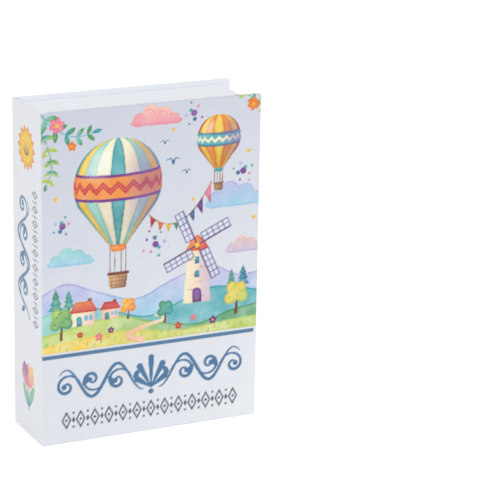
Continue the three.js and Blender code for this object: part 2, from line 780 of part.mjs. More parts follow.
function camFasteners() {
  const headY = camEndY + CAM_WASHER_T;
  const washer = ring(SCREW_R + SCREW_CLEARANCE, CAM_WASHER_R, camEndY, headY, SMALL_SIDES);
  const dome = Array.from({ length: ARC_STEPS + 1 }, (_, i) => {
    const angle = (Math.PI / 2) * (i / ARC_STEPS);
    return [SCREW_HEAD_R * Math.cos(angle), headY + SCREW_HEAD_T * Math.sin(angle)];
  });
  const footY = headY - SCREW_LENGTH;
  const profile = [
    [0, footY],
    [SCREW_R, footY],
    [SCREW_R, headY],
    ...dome.slice(0, -1),
    [0, headY + SCREW_HEAD_T],
  ];
  const [long, thin] = [SCREW_HEAD_R / 2, SCREW_SLOT_WIDTH / 2];
  const slotY = headY + SCREW_HEAD_T - SCREW_SLOT_DEPTH;
  const slot = (u, v) => extrude(rectangle(-u, -v, u, v), "y", slotY, headY + SCREW_HEAD_T + OVERRUN);
  const screw = cut(turned(profile, SMALL_SIDES), slot(long, thin), slot(thin, long));
  return [
    piece("cam_washer", washer.translate(lockX, 0, lockZ), finish.steel),
    piece("cam_screw", screw.translate(lockX, 0, lockZ), finish.steel),
  ];
}

const book = new THREE.Group();
book.position.set(-WIDTH / 2, -THICKNESS / 2, 0);
book.add(
  ...coverPieces("front", JOINT_EDGE, (depth) => depth),
  coverJoint(),
  ...spinePieces(),
  ...coverPieces("back", rearEdgeX, (depth) => THICKNESS - depth),
  pageBlock(),
  ...pageRivets(),
  steelBox(),
  strikeChannel(),
  boxHingeLeaf(),
  hingePin(),
  lidHingeLeaf(),
  lidPanel(),
  lockBody(),
  ...lockFasteners(),
  lockPlug(),
  lockCam(),
  ...camFasteners(),
);

const part = new THREE.Group();
part.add(book);

export default part;
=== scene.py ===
import math

import bmesh
import bpy
import numpy as np
from mathutils import Matrix, Vector


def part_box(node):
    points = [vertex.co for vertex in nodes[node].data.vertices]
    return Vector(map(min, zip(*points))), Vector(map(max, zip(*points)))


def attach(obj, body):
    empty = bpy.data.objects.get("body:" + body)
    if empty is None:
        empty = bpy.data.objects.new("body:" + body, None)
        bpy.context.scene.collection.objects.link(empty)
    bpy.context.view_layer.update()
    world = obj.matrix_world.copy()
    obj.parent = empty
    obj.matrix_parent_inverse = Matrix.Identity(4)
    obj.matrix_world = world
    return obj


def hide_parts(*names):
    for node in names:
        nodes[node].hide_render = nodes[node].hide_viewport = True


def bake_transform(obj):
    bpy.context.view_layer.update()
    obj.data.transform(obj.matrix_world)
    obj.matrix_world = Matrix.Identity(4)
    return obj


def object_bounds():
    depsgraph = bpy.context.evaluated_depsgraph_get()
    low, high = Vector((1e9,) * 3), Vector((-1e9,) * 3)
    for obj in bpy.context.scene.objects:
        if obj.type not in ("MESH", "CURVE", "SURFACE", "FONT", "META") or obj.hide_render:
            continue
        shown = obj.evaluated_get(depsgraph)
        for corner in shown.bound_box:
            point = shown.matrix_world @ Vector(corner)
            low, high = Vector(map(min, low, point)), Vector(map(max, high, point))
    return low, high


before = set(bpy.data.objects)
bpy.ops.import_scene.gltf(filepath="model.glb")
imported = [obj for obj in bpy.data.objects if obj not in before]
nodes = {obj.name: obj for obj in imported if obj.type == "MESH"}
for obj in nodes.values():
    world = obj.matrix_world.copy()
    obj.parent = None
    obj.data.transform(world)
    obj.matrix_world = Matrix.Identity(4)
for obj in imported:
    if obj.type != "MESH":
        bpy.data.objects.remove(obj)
cad_low, cad_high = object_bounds()

# Lengths are in millimetres in the book's frame: x from the spine, y from the front cover, z from the tail
MM = 0.001
ORIGIN = np.array(cad_low)
WIDTH, THICKNESS, HEIGHT = (float(side) / MM for side in cad_high - cad_low)

# Camera fitted to the corners of the book in the photograph, whose frame is FRAME_PX wide and high
YAW, PITCH, ROLL = (math.radians(angle) for angle in (26.33, 16.66, 1.12))
BOOK_FROM_EYE = Vector((-106.92, 1272.67, -112.01))  # from the camera to the origin: right, ahead, up
FOCAL_PX = 2351.3
FRAME_PX = 480
SENSOR = 36

# Printed sheet
PAPER = 0.6  # paper and lining in the joints
BOARD = 2.9  # board with its paper, without the endpaper
ENDPAPER = 0.1
ENDPAPER_COLUMNS, ENDPAPER_ROWS = 48, 68
PASTE_INSET, PASTE_OVERHANG = 0.6, 0.3  # endpaper inside the CAD's at the joint, past it elsewhere
RAGGED, COCKLED = 0.12, 0.02  # unevenness of the endpaper's edges and of its face
TURN_IN = 4  # paper folded over the inner side of a board
CORNER_R = 0.8
EDGE_R = 0.5  # rounded edge of a board
PAPER_EDGE_R = 0.28  # and of the paper in the joints
EDGE_REACH, EDGE_RAMP = 0.4, 0.5  # the ramp up to the board starts at the reach before its edge
JOINT_EDGE = 4.4  # spine face to the front board
JOINT_DIP = 0.1  # depth of the pressed groove
JOINT_SLOPE = 0.8  # run of each side of the groove
FOLD_START, FOLD_END = 2.45, 4.0  # flat strip of the joint paper, left without mesh columns
REAR_EDGE = 2.2  # spine face to the back board
SPINE = 1.6  # board, paper and lining
LINING = 0.3
PRINT_STEP = 0.54  # spacing of the mesh points that hold the print
BACK_STEP = 0.9  # and on the back
FRONT_LIGHT = 0.95  # share of the written colour that the lit front cover shows
WHITEST = 0.95  # paper reflects no more than this

DOUBLES = 1e-6  # metres within which points are one
SMOOTH_ANGLE, FLAT_ANGLE, BEVEL_ANGLE = 32, 1, 38
NOISE_LOW, NOISE_HIGH = 0.3, 0.7  # most values of a noise lie between these


def eased(share):
    """From 0 to 1 with a soft start and end"""
    share = np.clip(share, 0, 1)
    return share * share * (3 - 2 * share)


def to_frame(points):
    return np.asarray(points, float) * MM + ORIGIN


# Meshes

def smoothing():
    """Nodes that shade a mesh smooth, with edges over SMOOTH_ANGLE kept sharp"""
    tree = bpy.data.node_groups.new("smooth_by_angle", "GeometryNodeTree")
    for direction in ("INPUT", "OUTPUT"):
        tree.interface.new_socket("Geometry", in_out=direction, socket_type="NodeSocketGeometry")
    start = tree.nodes.new("NodeGroupInput")
    end = tree.nodes.new("NodeGroupOutput")
    faces = tree.nodes.new("GeometryNodeSetShadeSmooth")
    edges = tree.nodes.new("GeometryNodeSetShadeSmooth")
    edges.domain = "EDGE"
    angle = tree.nodes.new("GeometryNodeInputMeshEdgeAngle")
    flatter = tree.nodes.new("FunctionNodeCompare")
    flatter.operation = "LESS_THAN"
    flatter.inputs[1].default_value = math.radians(SMOOTH_ANGLE)
    tree.links.new(start.outputs[0], faces.inputs["Geometry"])
    tree.links.new(faces.outputs[0], edges.inputs["Geometry"])
    tree.links.new(angle.outputs["Unsigned Angle"], flatter.inputs[0])
    tree.links.new(flatter.outputs[0], edges.inputs["Shade Smooth"])
    tree.links.new(edges.outputs[0], end.inputs[0])
    return tree


SMOOTHING = smoothing()


def smooth(obj):
    obj.modifiers.new("smooth", "NODES").node_group = SMOOTHING
    return obj


def add_piece(name, points, faces, material, replaced, body=None, print_at=None):
    """Adds a mesh in place of the replaced nodes; print_at is the u and v of its points where it is printed.
    The colours are painted before doubles merge, so both stay in step."""
    mesh = bpy.data.meshes.new(name)
    mesh.from_pydata(to_frame(points).tolist(), [], [tuple(int(a) for a in face) for face in faces])
    mesh.materials.append(material)
    obj = bpy.data.objects.new(name, mesh)
    bpy.context.scene.collection.objects.link(obj)
    if print_at:
        print_on(mesh, *print_at)
    clean = bmesh.new()
    clean.from_mesh(mesh)
    bmesh.ops.remove_doubles(clean, verts=clean.verts, dist=DOUBLES)
    bmesh.ops.recalc_face_normals(clean, faces=clean.faces)
    clean.to_mesh(mesh)
    clean.free()
    smooth(obj)
    if body:
        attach(obj, body)
    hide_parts(*replaced)
    return obj


# Materials

class Look:
    """A principled material and short ways to add nodes to it"""

    def __init__(self, name, **values):
        self.material = bpy.data.materials.new(name)
        self.material.use_nodes = True
        self.nodes = self.material.node_tree.nodes
        self.links = self.material.node_tree.links
        self.surface = self.nodes["Principled BSDF"]
        for key, value in values.items():
            self.surface.inputs[key.replace("_", " ")].default_value = value
        self.place = self.nodes.new("ShaderNodeTexCoord").outputs["Object"]

    def node(self, kind, settings=None, **values):
        made = self.nodes.new("ShaderNode" + kind)
        for key, value in (settings or {}).items():
            setattr(made, key, value)
        for key, value in values.items():
            self.feed(made.inputs[key.replace("_", " ")], value)
        return made

    def feed(self, socket, value):
        if isinstance(value, bpy.types.NodeSocket):
            self.links.new(value, socket)
        else:
            socket.default_value = value

    def noise(self, size, detail=3.0, scale=(1, 1, 1)):
        """Noise whose grain is about size millimetres, shorter along the axes that scale enlarges"""
        place = self.node("Mapping", Vector=self.place, Scale=scale).outputs[0]
        return self.node("TexNoise", Vector=place, Scale=1 / (size * MM), Detail=detail).outputs["Fac"]

    def cells(self, size):
        """Rounded cells about size millimetres wide"""
        scale = 1 / (size * MM)
        return self.node("TexVoronoi", {"feature": "SMOOTH_F1"}, Vector=self.place, Scale=scale).outputs[0]

    def between(self, value, low, high, start=NOISE_LOW, end=NOISE_HIGH):
        made = self.node("MapRange", Value=value, From_Min=start, From_Max=end, To_Min=low, To_Max=high)
        return made.outputs[0]

    def maths(self, operation, a, b):
        made = self.node("Math", {"operation": operation})
        self.feed(made.inputs[0], a)
        self.feed(made.inputs[1], b)
        return made.outputs[0]

    def colour(self, factor, low, high):
        """The colour low where a noise is low, and high where it is high"""
        made = self.node("ValToRGB", Fac=factor)
        first, last = made.color_ramp.elements
        first.position, last.position = NOISE_LOW, NOISE_HIGH
        first.color, last.color = (*low, 1), (*high, 1)
        return made.outputs[0]

    def mixed(self, share, low, high):
        """The colour low where share is 0 and high where it is 1"""
        made = self.node("Mix", {"data_type": "RGBA"})
        for socket, value in ((0, share), (6, low), (7, high)):
            self.feed(made.inputs[socket], value)
        return made.outputs[2]

    def bump(self, height, depth, normal=None):
        """Bump whose height 0 to 1 stands for depth millimetres"""
        made = self.node("Bump", Height=height, Distance=depth * MM, Strength=1.0)
        if normal:
            self.feed(made.inputs["Normal"], normal)
        return made.outputs[0]

    def set(self, **inputs):
        for key, value in inputs.items():
            self.feed(self.surface.inputs[key.replace("_", " ")], value)
        return self


def printed_paper():
    look = Look("printed_paper", Coat_Weight=0.12, Coat_Roughness=0.3)
    ink = look.node("Attribute", {"attribute_name": "print"}).outputs["Color"]
    fibres = look.noise(0.5, 4, (1, 1, 0.6))
    wear = look.between(look.noise(9), 0.975, 1.0)
    shade = look.node("Mix", {"data_type": "RGBA", "blend_type": "MULTIPLY"})
    shade.inputs["Factor"].default_value = 1
    look.feed(shade.inputs[6], ink)
    look.feed(shade.inputs[7], wear)
    grain = look.bump(fibres, 0.012)
    waves = look.bump(look.noise(38, 1), 0.16, grain)
    look.set(Base_Color=shade.outputs[2], Normal=waves, Roughness=look.between(look.noise(6), 0.34, 0.42))
    return look.material


def plain_paper():
    look = Look("endpaper")
    fibres = look.noise(0.7, 5)
    look.set(
        Base_Color=look.colour(fibres, (0.6, 0.61, 0.635), (0.66, 0.67, 0.69)),
        Roughness=look.between(fibres, 0.72, 0.85),
        Normal=look.bump(look.noise(30, 1), 0.2, look.bump(fibres, 0.03)),
    )
    return look.material


def page_plastic():
    look = Look("page_plastic", IOR=1.5)
    leaves = look.noise(0.7, 1, (0.004, 1, 0.004))
    speckle = look.noise(0.8, 3)
    look.set(
        Base_Color=look.colour(leaves, (0.845, 0.865, 0.9), (0.87, 0.885, 0.915)),
        Roughness=look.between(speckle, 0.42, 0.55),
        Normal=look.bump(leaves, 0.02, look.bump(speckle, 0.003)),
    )
    return look.material


def powder_coat(name, grain, depth, coarse=None, wear_and_highlight=None):
    """Black powder coat; the two masks give the share, 0 to 1, of a wrinkled finish, whose raised grains are
    painted lighter as a highlight, and of bare steel, partly worn paint and partly a painted highlight
    """
    look = Look(name, IOR=1.48, Specular_IOR_Level=0.32)
    surface = look.bump(look.cells(grain), depth)
    paint = look.colour(look.noise(11, 4), (0.006, 0.008, 0.0125), (0.0095, 0.012, 0.017))
    rough = look.between(look.noise(3), 0.36, 0.48)
    if coarse:
        raised_grains_and_sheen = look.maths("MULTIPLY", look.noise(1.5, 3), coarse(look))
        surface = look.bump(raised_grains_and_sheen, 0.55, surface)
        # painted highlight: the raised grains turn a lighter grey, standing in for their glints
        paint = look.mixed(look.between(raised_grains_and_sheen, 0, 1, 0.2, 0.7), paint, (0.028, 0.032, 0.04, 1))
    look.set(Base_Color=paint, Roughness=rough, Normal=surface)
    if wear_and_highlight:
        # bare bright steel, partly worn paint and partly a painted highlight
        bare = wear_and_highlight(look)
        look.set(Base_Color=look.mixed(bare, paint, (0.55, 0.56, 0.58, 1)), Metallic=bare)
    return look.material


def crest_wear_and_highlight(look):
    """1 on the crests of the knuckles that face the inside of the box, partly where the paint rubs off and
    partly a painted highlight along the knuckles
    """
    facing = look.node("VectorMath", {"operation": "DOT_PRODUCT"})
    look.feed(facing.inputs[0], look.node("TexCoord").outputs["Normal"])
    facing.inputs[1].default_value = (0.8, -0.6, 0)
    ragged = look.maths("MULTIPLY", look.noise(1.3, 4), 0.16)
    crest = look.between(look.maths("ADD", facing.outputs["Value"], ragged), 0.0, 1.0, 0.96, 1.02)
    return look.maths("MULTIPLY", crest, look.between(look.noise(6, 3), 0.55, 1.0))


def darker(colour, share):
    return tuple(share * c for c in colour)


def metal(name, colour, rough, brushed=(1, 1, 1), wear=0.004):
    """Bare metal with scratches; brushed gives their direction, and wear their depth in millimetres"""
    look = Look(name, Metallic=1.0)
    scratches = look.noise(0.35, 4, brushed)
    look.set(
        Base_Color=look.colour(look.noise(4), darker(colour, 0.82), colour),
        Roughness=look.between(scratches, rough, rough + 0.14),
        Normal=look.bump(scratches, wear),
    )
    return look.material


# Signed shapes of the print: u runs across and v up the unfolded cover, from the front corner of the spine

class Shape:
    """An area of the print: its box (low u, low v, high u, high v) and the distance from its edge,
    less than 0 inside"""

    def __init__(self, box, distance):
        self.box = box
        self.distance = distance

    def __and__(self, other):
        a, b = self.box, other.box
        box = (max(a[0], b[0]), max(a[1], b[1]), min(a[2], b[2]), min(a[3], b[3]))
        return Shape(box, lambda u, v: np.maximum(self.distance(u, v), other.distance(u, v)))

    def __or__(self, other):
        a, b = self.box, other.box
        box = (min(a[0], b[0]), min(a[1], b[1]), max(a[2], b[2]), max(a[3], b[3]))
        return Shape(box, lambda u, v: np.minimum(self.distance(u, v), other.distance(u, v)))

    def __sub__(self, other):
        return Shape(self.box, lambda u, v: np.maximum(self.distance(u, v), -other.distance(u, v)))

    def mirrored(self, axis):
        """The shape with its reflection in the line u = axis"""
        low, high = self.box[0], self.box[2]
        box = (min(low, 2 * axis - high), self.box[1], max(high, 2 * axis - low), self.box[3])
        return Shape(box, lambda u, v: self.distance(axis + np.abs(u - axis), v))

    def turned(self, centre, angle):
        """The shape turned about centre by an angle in radians"""
        cos, sin = math.cos(angle), math.sin(angle)
        (cu, cv), (a, b, c, d) = centre, self.box
        ends = [(x - cu, y - cv) for x in (a, c) for y in (b, d)]
        us = [cu + x * cos - y * sin for x, y in ends]
        vs = [cv + x * sin + y * cos for x, y in ends]

        def distance(u, v):
            x, y = u - cu, v - cv
            return self.distance(cu + x * cos + y * sin, cv - x * sin + y * cos)
        return Shape((min(us), min(vs), max(us), max(vs)), distance)


def circle(u0, v0, radius):
    return ellipse(u0, v0, radius, radius)


def ellipse(u0, v0, half_width, half_height, tilt=0.0):
    def distance(u, v):
        x, y = (u - u0) / half_width, (v - v0) / half_height
        reach = np.hypot(x, y)
        steep = np.hypot(x / half_width, y / half_height) + 1e-6
        return reach * (reach - 1) / steep
    flat = Shape((u0 - half_width, v0 - half_height, u0 + half_width, v0 + half_height), distance)
    return flat.turned((u0, v0), tilt) if tilt else flat


def outline_box(points, margin=0.0):
    low, high = np.min(points, axis=0) - margin, np.max(points, axis=0) + margin
    return (*low, *high)


def polygon(*points):
    corners = np.array(points, float)

    def distance(u, v):
        nearest = np.full(u.shape, np.inf)
        inside = np.zeros(u.shape, bool)
        for (ax, ay), (bx, by) in zip(corners, np.roll(corners, -1, axis=0)):
            ex, ey = bx - ax, by - ay
            along = np.clip(((u - ax) * ex + (v - ay) * ey) / (ex * ex + ey * ey), 0, 1)
            nearest = np.minimum(nearest, np.hypot(u - ax - ex * along, v - ay - ey * along))
            inside ^= ((ay > v) != (by > v)) & (u < ex * (v - ay) / (ey or 1) + ax)
        return np.where(inside, -nearest, nearest)
    return Shape(outline_box(corners), distance)


def stroke(points, *widths):
    """A line whose width goes through the given widths from its start to its end"""
    line = np.array(points, float)
    stops = np.linspace(0, 1, len(widths))
    radii = np.interp(np.linspace(0, 1, len(line)), stops, widths) / 2

    def distance(u, v):
        nearest = np.full(u.shape, np.inf)
        for (ax, ay), (bx, by), ra, rb in zip(line, line[1:], radii, radii[1:]):
            ex, ey = bx - ax, by - ay
            along = np.clip(((u - ax) * ex + (v - ay) * ey) / (ex * ex + ey * ey + 1e-9), 0, 1)
            gap = np.hypot(u - ax - ex * along, v - ay - ey * along)
            nearest = np.minimum(nearest, gap - ra - (rb - ra) * along)
        return nearest
    return Shape(outline_box(line, radii.max()), distance)


def curve(*points, steps=8):
    """Points along a smooth line through the given ones"""
    ends = [points[0], *points, points[-1]]
    line = []
    for a, b, c, d in zip(ends, ends[1:], ends[2:], ends[3:]):
        for t in np.arange(steps) / steps:
            line.append([
                q + 0.5 * ((r - p) * t + (2 * p - 5 * q + 4 * r - s) * t**2 + (3 * q - p - 3 * r + s) * t**3)
                for p, q, r, s in zip(a, b, c, d)
            ])
    return [*line, points[-1]]


def spiral(centre, outer, inner, start, turns):
    """Points of a spiral from its outer radius to its inner one; angles in degrees"""
    share = np.linspace(0, 1, 10 + int(14 * abs(turns)))
    radius = outer * (inner / outer) ** share
    angle = np.radians(start + 360 * turns * share)
    return np.column_stack([centre[0] + radius * np.cos(angle), centre[1] + radius * np.sin(angle)]).tolist()


def leaf(base, length, width, angle):
    """A pointed leaf from its base, at an angle in degrees"""
    bend = np.sin(np.linspace(0, np.pi, 9))[1:-1] ** 0.8 * width / 2
    along = np.linspace(0, length, 9)[1:-1]
    side = [(x, y) for x, y in zip(along, bend)]
    points = [(0, 0), *[(x, -y) for x, y in side], (length, 0), *reversed(side)]
    return polygon(*[(base[0] + x, base[1] + y) for x, y in points]).turned(base, math.radians(angle))


# Paint

I_FACTOR, J_FACTOR, SEED_FACTOR, LAST_FACTOR = 374761393, 668265263, 974634777, 1274126177
LOW_16, LOW_32 = 0xFFFF, 0xFFFFFFFF  # masks of the low bits


def lattice(i, j, seed):
    """A value from 0 to 1 that looks random but is always the same for i, j and seed"""
    mixed = (i * I_FACTOR + j * J_FACTOR + seed * SEED_FACTOR) & LOW_32
    mixed = ((mixed ^ (mixed >> 13)) * LAST_FACTOR) & LOW_32
    return ((mixed ^ (mixed >> 16)) & LOW_16) / LOW_16


def cloudy(u, v, grain, seed):
    """Smooth noise from 0 to 1 with blotches about grain millimetres wide"""
    total = 0
    for octave, share in enumerate((0.55, 0.3, 0.15)):
        x, y = u / grain * 2**octave, v / grain * 2**octave
        i, j = np.floor(x).astype(np.int64), np.floor(y).astype(np.int64)
        a, b = eased(x - i), eased(y - j)
        low = lattice(i, j, seed + octave) * (1 - a) + lattice(i + 1, j, seed + octave) * a
        high = lattice(i, j + 1, seed + octave) * (1 - a) + lattice(i + 1, j + 1, seed + octave) * a
        total = total + share * (low * (1 - b) + high * b)
    return total


TEAL, MINT, SKY = (0.29, 0.64, 0.67), (0.58, 0.82, 0.77), (0.57, 0.77, 0.88)
YELLOW, CREAM, ORANGE = (0.96, 0.79, 0.28), (0.97, 0.93, 0.79), (0.92, 0.52, 0.18)
RED, PINK, PEACH = (0.79, 0.24, 0.22), (0.9, 0.52, 0.6), (0.96, 0.76, 0.65)
PURPLE, LILAC, PLUM = (0.46, 0.24, 0.56), (0.74, 0.71, 0.87), (0.35, 0.17, 0.4)
GREEN, LIME, BROWN = (0.34, 0.6, 0.41), (0.72, 0.8, 0.36), (0.48, 0.3, 0.2)
STEEL_BLUE, SLATE, RULE_BLUE = (0.26, 0.44, 0.6), (0.25, 0.27, 0.31), (0.3, 0.46, 0.6)
STRAW = (0.86, 0.66, 0.38)
GOLD, AMBER = (0.96, 0.8, 0.12), (0.9, 0.63, 0.06)
# painted shade: the front's ground colours, darker at the head and lighter at the tail, stand in for how
# light falls across the cover
SHADED_GROUND_HEAD, LIT_GROUND_TAIL = (0.778, 0.793, 0.842), (0.917, 0.924, 0.938)
SPINE_PAPER, BACK_PAPER = (0.898, 0.9, 0.918), (0.908, 0.92, 0.944)
WOBBLE_GRAIN, MOTTLE_GRAIN, FADE_GRAIN = 4, 6, 8  # sizes of the blotches in watercolour
RIM_INSET, RIM_WIDTH = 0.4, 0.5  # place of the darker rim inside an edge
WITHIN_SOFT = 0.3
SEED_STEP = 7
GROUND_SHADE_SLANT = 0.25  # share of the ground's painted shade gradient that runs from the spine to the fore-edge


class Print:
    """Colours of the points of one mesh, painted in the order of the calls"""

    def __init__(self, u, v):
        self.u, self.v = u, v
        self.seed = 1
        # painted shade: the front's ground darkens towards the head and towards the spine
        fade = np.clip((1 - GROUND_SHADE_SLANT) * v / HEIGHT + GROUND_SHADE_SLANT * (1 - u / WIDTH), 0, 1)[:, None]
        front = np.array(LIT_GROUND_TAIL) * (1 - fade) + np.array(SHADED_GROUND_HEAD) * fade
        self.front = np.clip(u + 0.5, 0, 1)  # 1 on the front cover
        self.window = np.ones(len(u))  # share of each point that paint reaches
        on_front, on_back = self.front[:, None], np.clip(0.5 - THICKNESS - u, 0, 1)[:, None]
        self.colour = front * on_front + np.array(SPINE_PAPER) * (1 - on_front - on_back)
        self.colour += np.array(BACK_PAPER) * on_back

    def paint(self, shape, colour, second=None, across=None, soft=0.3, mottle=0.3, rim=0.3, wobble=0.5,
              cover=1.0, within=None):
        """Fills a shape like watercolour, blotchy and with darker rims, inside the window and within.
        The second colour fades in along across, which is two points."""
        self.seed += SEED_STEP
        low_u, low_v, high_u, high_v = shape.box
        margin = soft + wobble
        near = (self.u > low_u - margin) & (self.u < high_u + margin)
        near &= (self.v > low_v - margin) & (self.v < high_v + margin)
        if not near.any():
            return
        u, v = self.u[near], self.v[near]
        depth = shape.distance(u, v) + wobble * (cloudy(u, v, WOBBLE_GRAIN, self.seed) - 0.5)
        share = np.clip(0.5 - depth / soft, 0, 1) * cover * self.window[near]
        if within:
            share = share * np.clip(0.5 - within.distance(u, v) / WITHIN_SOFT, 0, 1)
        pigment = np.array(colour, float)[None, :]
        if second is not None:
            (au, av), (bu, bv) = across
            along = ((u - au) * (bu - au) + (v - av) * (bv - av)) / ((bu - au) ** 2 + (bv - av) ** 2)
            uneven = 0.5 * (cloudy(u, v, FADE_GRAIN, self.seed + 3) - 0.5)
            fade = np.clip(along + uneven, 0, 1)[:, None]
            pigment = pigment * (1 - fade) + np.array(second) * fade
        dark_rim = rim * np.exp(-((depth + RIM_INSET) / RIM_WIDTH) ** 2)
        strength = 1 - mottle * cloudy(u, v, MOTTLE_GRAIN, self.seed + 5) + dark_rim
        wet = np.clip(1 - (1 - pigment) * strength[:, None], 0, 1)
        self.colour[near] = self.colour[near] * (1 - share[:, None]) + wet * share[:, None]

    def flat(self, shape, colour):
        self.paint(shape, colour, mottle=0.0, rim=0.0, wobble=0.0)

    def line(self, points, widths, colour, **settings):
        self.paint(stroke(points, *widths), colour, rim=0, **settings)

    def glaze(self, shape, colour, cover, soft, within):
        self.paint(shape, colour, soft=soft, mottle=0.4, rim=0.0, cover=cover, within=within)


def under(line, bottom):
    """The area under a smooth line, down to bottom"""
    top = np.array(curve(*line))

    def distance(u, v):
        height = np.interp(u, top[:, 0], top[:, 1])
        return np.maximum(v - height, bottom - v)
    return Shape((top[0, 0], bottom, top[-1, 0], top[:, 1].max()), distance)


def trapezoid(u, v, half_foot, top, half_top):
    """The area between the levels v and top, with these half widths there"""
    return polygon((u - half_foot, v), (u + half_foot, v), (u + half_top, top), (u - half_top, top))


def polar(u, v, reach, angle):
    """The point at this distance from u, v; the angle is in radians"""
    return u + reach * math.cos(angle), v + reach * math.sin(angle)


def upright(start, end):
    """The direction of a fade from one level to another"""
    return (0, start), (0, end)


def cloud(page, u, v, width, colour, second):
    puffs = ((-0.32, 0.02, 0.17), (-0.1, 0.12, 0.21), (0.14, 0.08, 0.19), (0.34, 0.0, 0.13))
    body = ellipse(u, v - 0.03 * width, width / 2, 0.1 * width)
    for du, dv, radius in puffs:
        body = body | circle(u + du * width, v + dv * width, radius * width * 0.8)
    body = body & trapezoid(u, v - 0.09 * width, 0.6 * width, v + 0.5 * width, 0.6 * width)
    page.paint(body, colour, second, upright(v + 0.3 * width, v - 0.1 * width), rim=0.2)
    for du, dv, radius in puffs[:3]:
        centre = (u + du * width, v + dv * width)
        line = spiral(centre, radius * width * 0.55, radius * width * 0.12, 150, -0.8)
        page.line(line, (0.9, 0.3), second, cover=0.6, mottle=0.1)


def basket(page, u, v, size):
    page.paint(trapezoid(u, v, size, v - 1.5 * size, 0.8 * size), STRAW, BROWN,
               ((u - size, v), (u + 1.6 * size, v - size)))
    for row in range(1, 4):
        level = v - row * 0.38 * size
        page.line([(u - 0.9 * size, level), (u + 0.9 * size, level)], (0.45,), BROWN, cover=0.7)
    for column in np.linspace(-0.7, 0.7, 6):
        top, foot = (u + column * size, v), (u + column * 0.85 * size, v - 1.4 * size)
        page.line([top, foot], (0.35,), BROWN, cover=0.5)
    page.paint(stroke([(u - size, v), (u + size, v)], 0.28 * size), BROWN)


def balloon(page, u, v, radius, colours, band):
    """A striped hot-air balloon whose envelope is centred at u, v"""
    neck, mouth = -0.42 * radius, -1.32 * radius
    neck_half, half_mouth = math.sqrt(radius**2 - neck**2), 0.2 * radius
    envelope = circle(u, v, radius) | trapezoid(u, v + neck, neck_half, v + mouth, half_mouth)

    def half_width(v1):
        h = v1 - v
        round_part = np.sqrt(np.maximum(radius**2 - h**2, 0.01))
        taper = neck_half + (half_mouth - neck_half) * (neck - h) / (neck - mouth)
        return np.where(h > neck, round_part, np.maximum(taper, half_mouth))

    edges = np.sin(np.linspace(-np.pi / 2, np.pi / 2, len(colours) + 1))
    for low, high, colour in zip(edges, edges[1:], colours):
        def between(u1, v1, low=low, high=high):
            half = half_width(v1)
            return np.maximum(u + low * half - u1, u1 - u - high * half)
        page.paint(envelope & Shape(envelope.box, between), colour, darker(colour, 0.86),
                   upright(v + radius, v + mouth), wobble=0.2)
    zigzag_band(page, envelope, (u, v, radius), half_width, band)
    shade = ellipse(u + 0.8 * radius, v - 0.2 * radius, 0.5 * radius, 1.3 * radius)
    page.glaze(shade, PURPLE, 0.42, 0.5 * radius, envelope)
    shine = ellipse(u - 0.45 * radius, v + 0.45 * radius, 0.2 * radius, 0.3 * radius, -0.6)
    page.glaze(shine, (1, 1, 0.97), 0.5, 0.3 * radius, envelope)
    bottom = v - 1.95 * radius
    for end in (-0.9, -0.35, 0.35, 0.9):
        page.line([(u + end * half_mouth, v + mouth), (u + end * 0.2 * radius, bottom)], (0.45,), BROWN)
    page.paint(trapezoid(u, v + mouth, half_mouth, v + mouth - 0.14 * radius, 0.7 * half_mouth), band[0])
    basket(page, u, bottom, 0.22 * radius)


def zigzag_band(page, envelope, place, half_width, band):
    u, v, radius = place

    def course(v0, half_height, teeth):
        def distance(u1, v1):
            angle = np.arcsin(np.clip((u1 - u) / half_width(v1), -1, 1))
            wave = np.abs((angle / np.pi * teeth) % 1 - 0.5) * 2 - 0.5 if teeth else 0
            level = v0 - 0.12 * radius * np.cos(angle) + wave * 0.16 * radius
            return np.abs(v1 - level) - half_height
        return envelope & Shape(envelope.box, distance)

    courses = ((0.04, 0.27, 0, band[0], 0.2), (0.04, 0.07, 9, band[1], 0.1),
               (0.3, 0.03, 0, band[2], 0.1), (-0.22, 0.03, 0, band[2], 0.1))
    for rise, half_height, teeth, colour, wobble in courses:
        page.paint(course(v + rise * radius, half_height * radius, teeth), colour, wobble=wobble)


def arch(u, v, width, height):
    """A door or window with a round head, standing on v"""
    half, spring = width / 2, v + height - width / 2
    return trapezoid(u, v, half, spring, half) | circle(u, spring, half)


def windmill(page, u, v, height):
    foot, top = 0.2 * height, 0.13 * height
    head = v + 0.72 * height
    page.paint(trapezoid(u, v, foot, head, top), CREAM, PEACH, ((u - foot, v), (u + foot, v)))
    shade = polygon((u + 0.25 * foot, v), (u + foot, v), (u + top, head), (u + 0.2 * top, head))
    page.paint(shade, LILAC, cover=0.55, rim=0)
    for row, shift in enumerate((0.3, -0.45, 0.15, -0.2, 0.4, -0.35)):
        level = v + (0.08 + 0.1 * row) * height
        ends = [(u + (shift - 0.2) * foot, level), (u + (shift + 0.2) * foot, level)]
        page.line(ends, (0.4,), BROWN, cover=0.45)
    page.paint(arch(u, v, 0.13 * height, 0.2 * height), PURPLE, PLUM, upright(v + 6, v))
    for rise, width in ((0.34, 0.07), (0.53, 0.06)):
        level = v + rise * height
        page.paint(arch(u, level, width * height, 0.1 * height), TEAL, STEEL_BLUE, upright(level + 3, level))
    brim, tip = head - 0.5, head + 0.13 * height
    cap = polygon((u - 1.35 * top, brim), (u + 1.35 * top, brim), (u + 0.7 * top, tip),
                  (u, head + 0.2 * height), (u - 0.7 * top, tip))
    page.paint(cap, ORANGE, RED, ((u - top, head + 5), (u + top, head)))
    hub = (u, head + 0.06 * height)
    for arm in range(4):
        sail(page, hub, 0.52 * height, 24 + 90 * arm)
    page.paint(circle(*hub, 0.035 * height), YELLOW, rim=0.6)


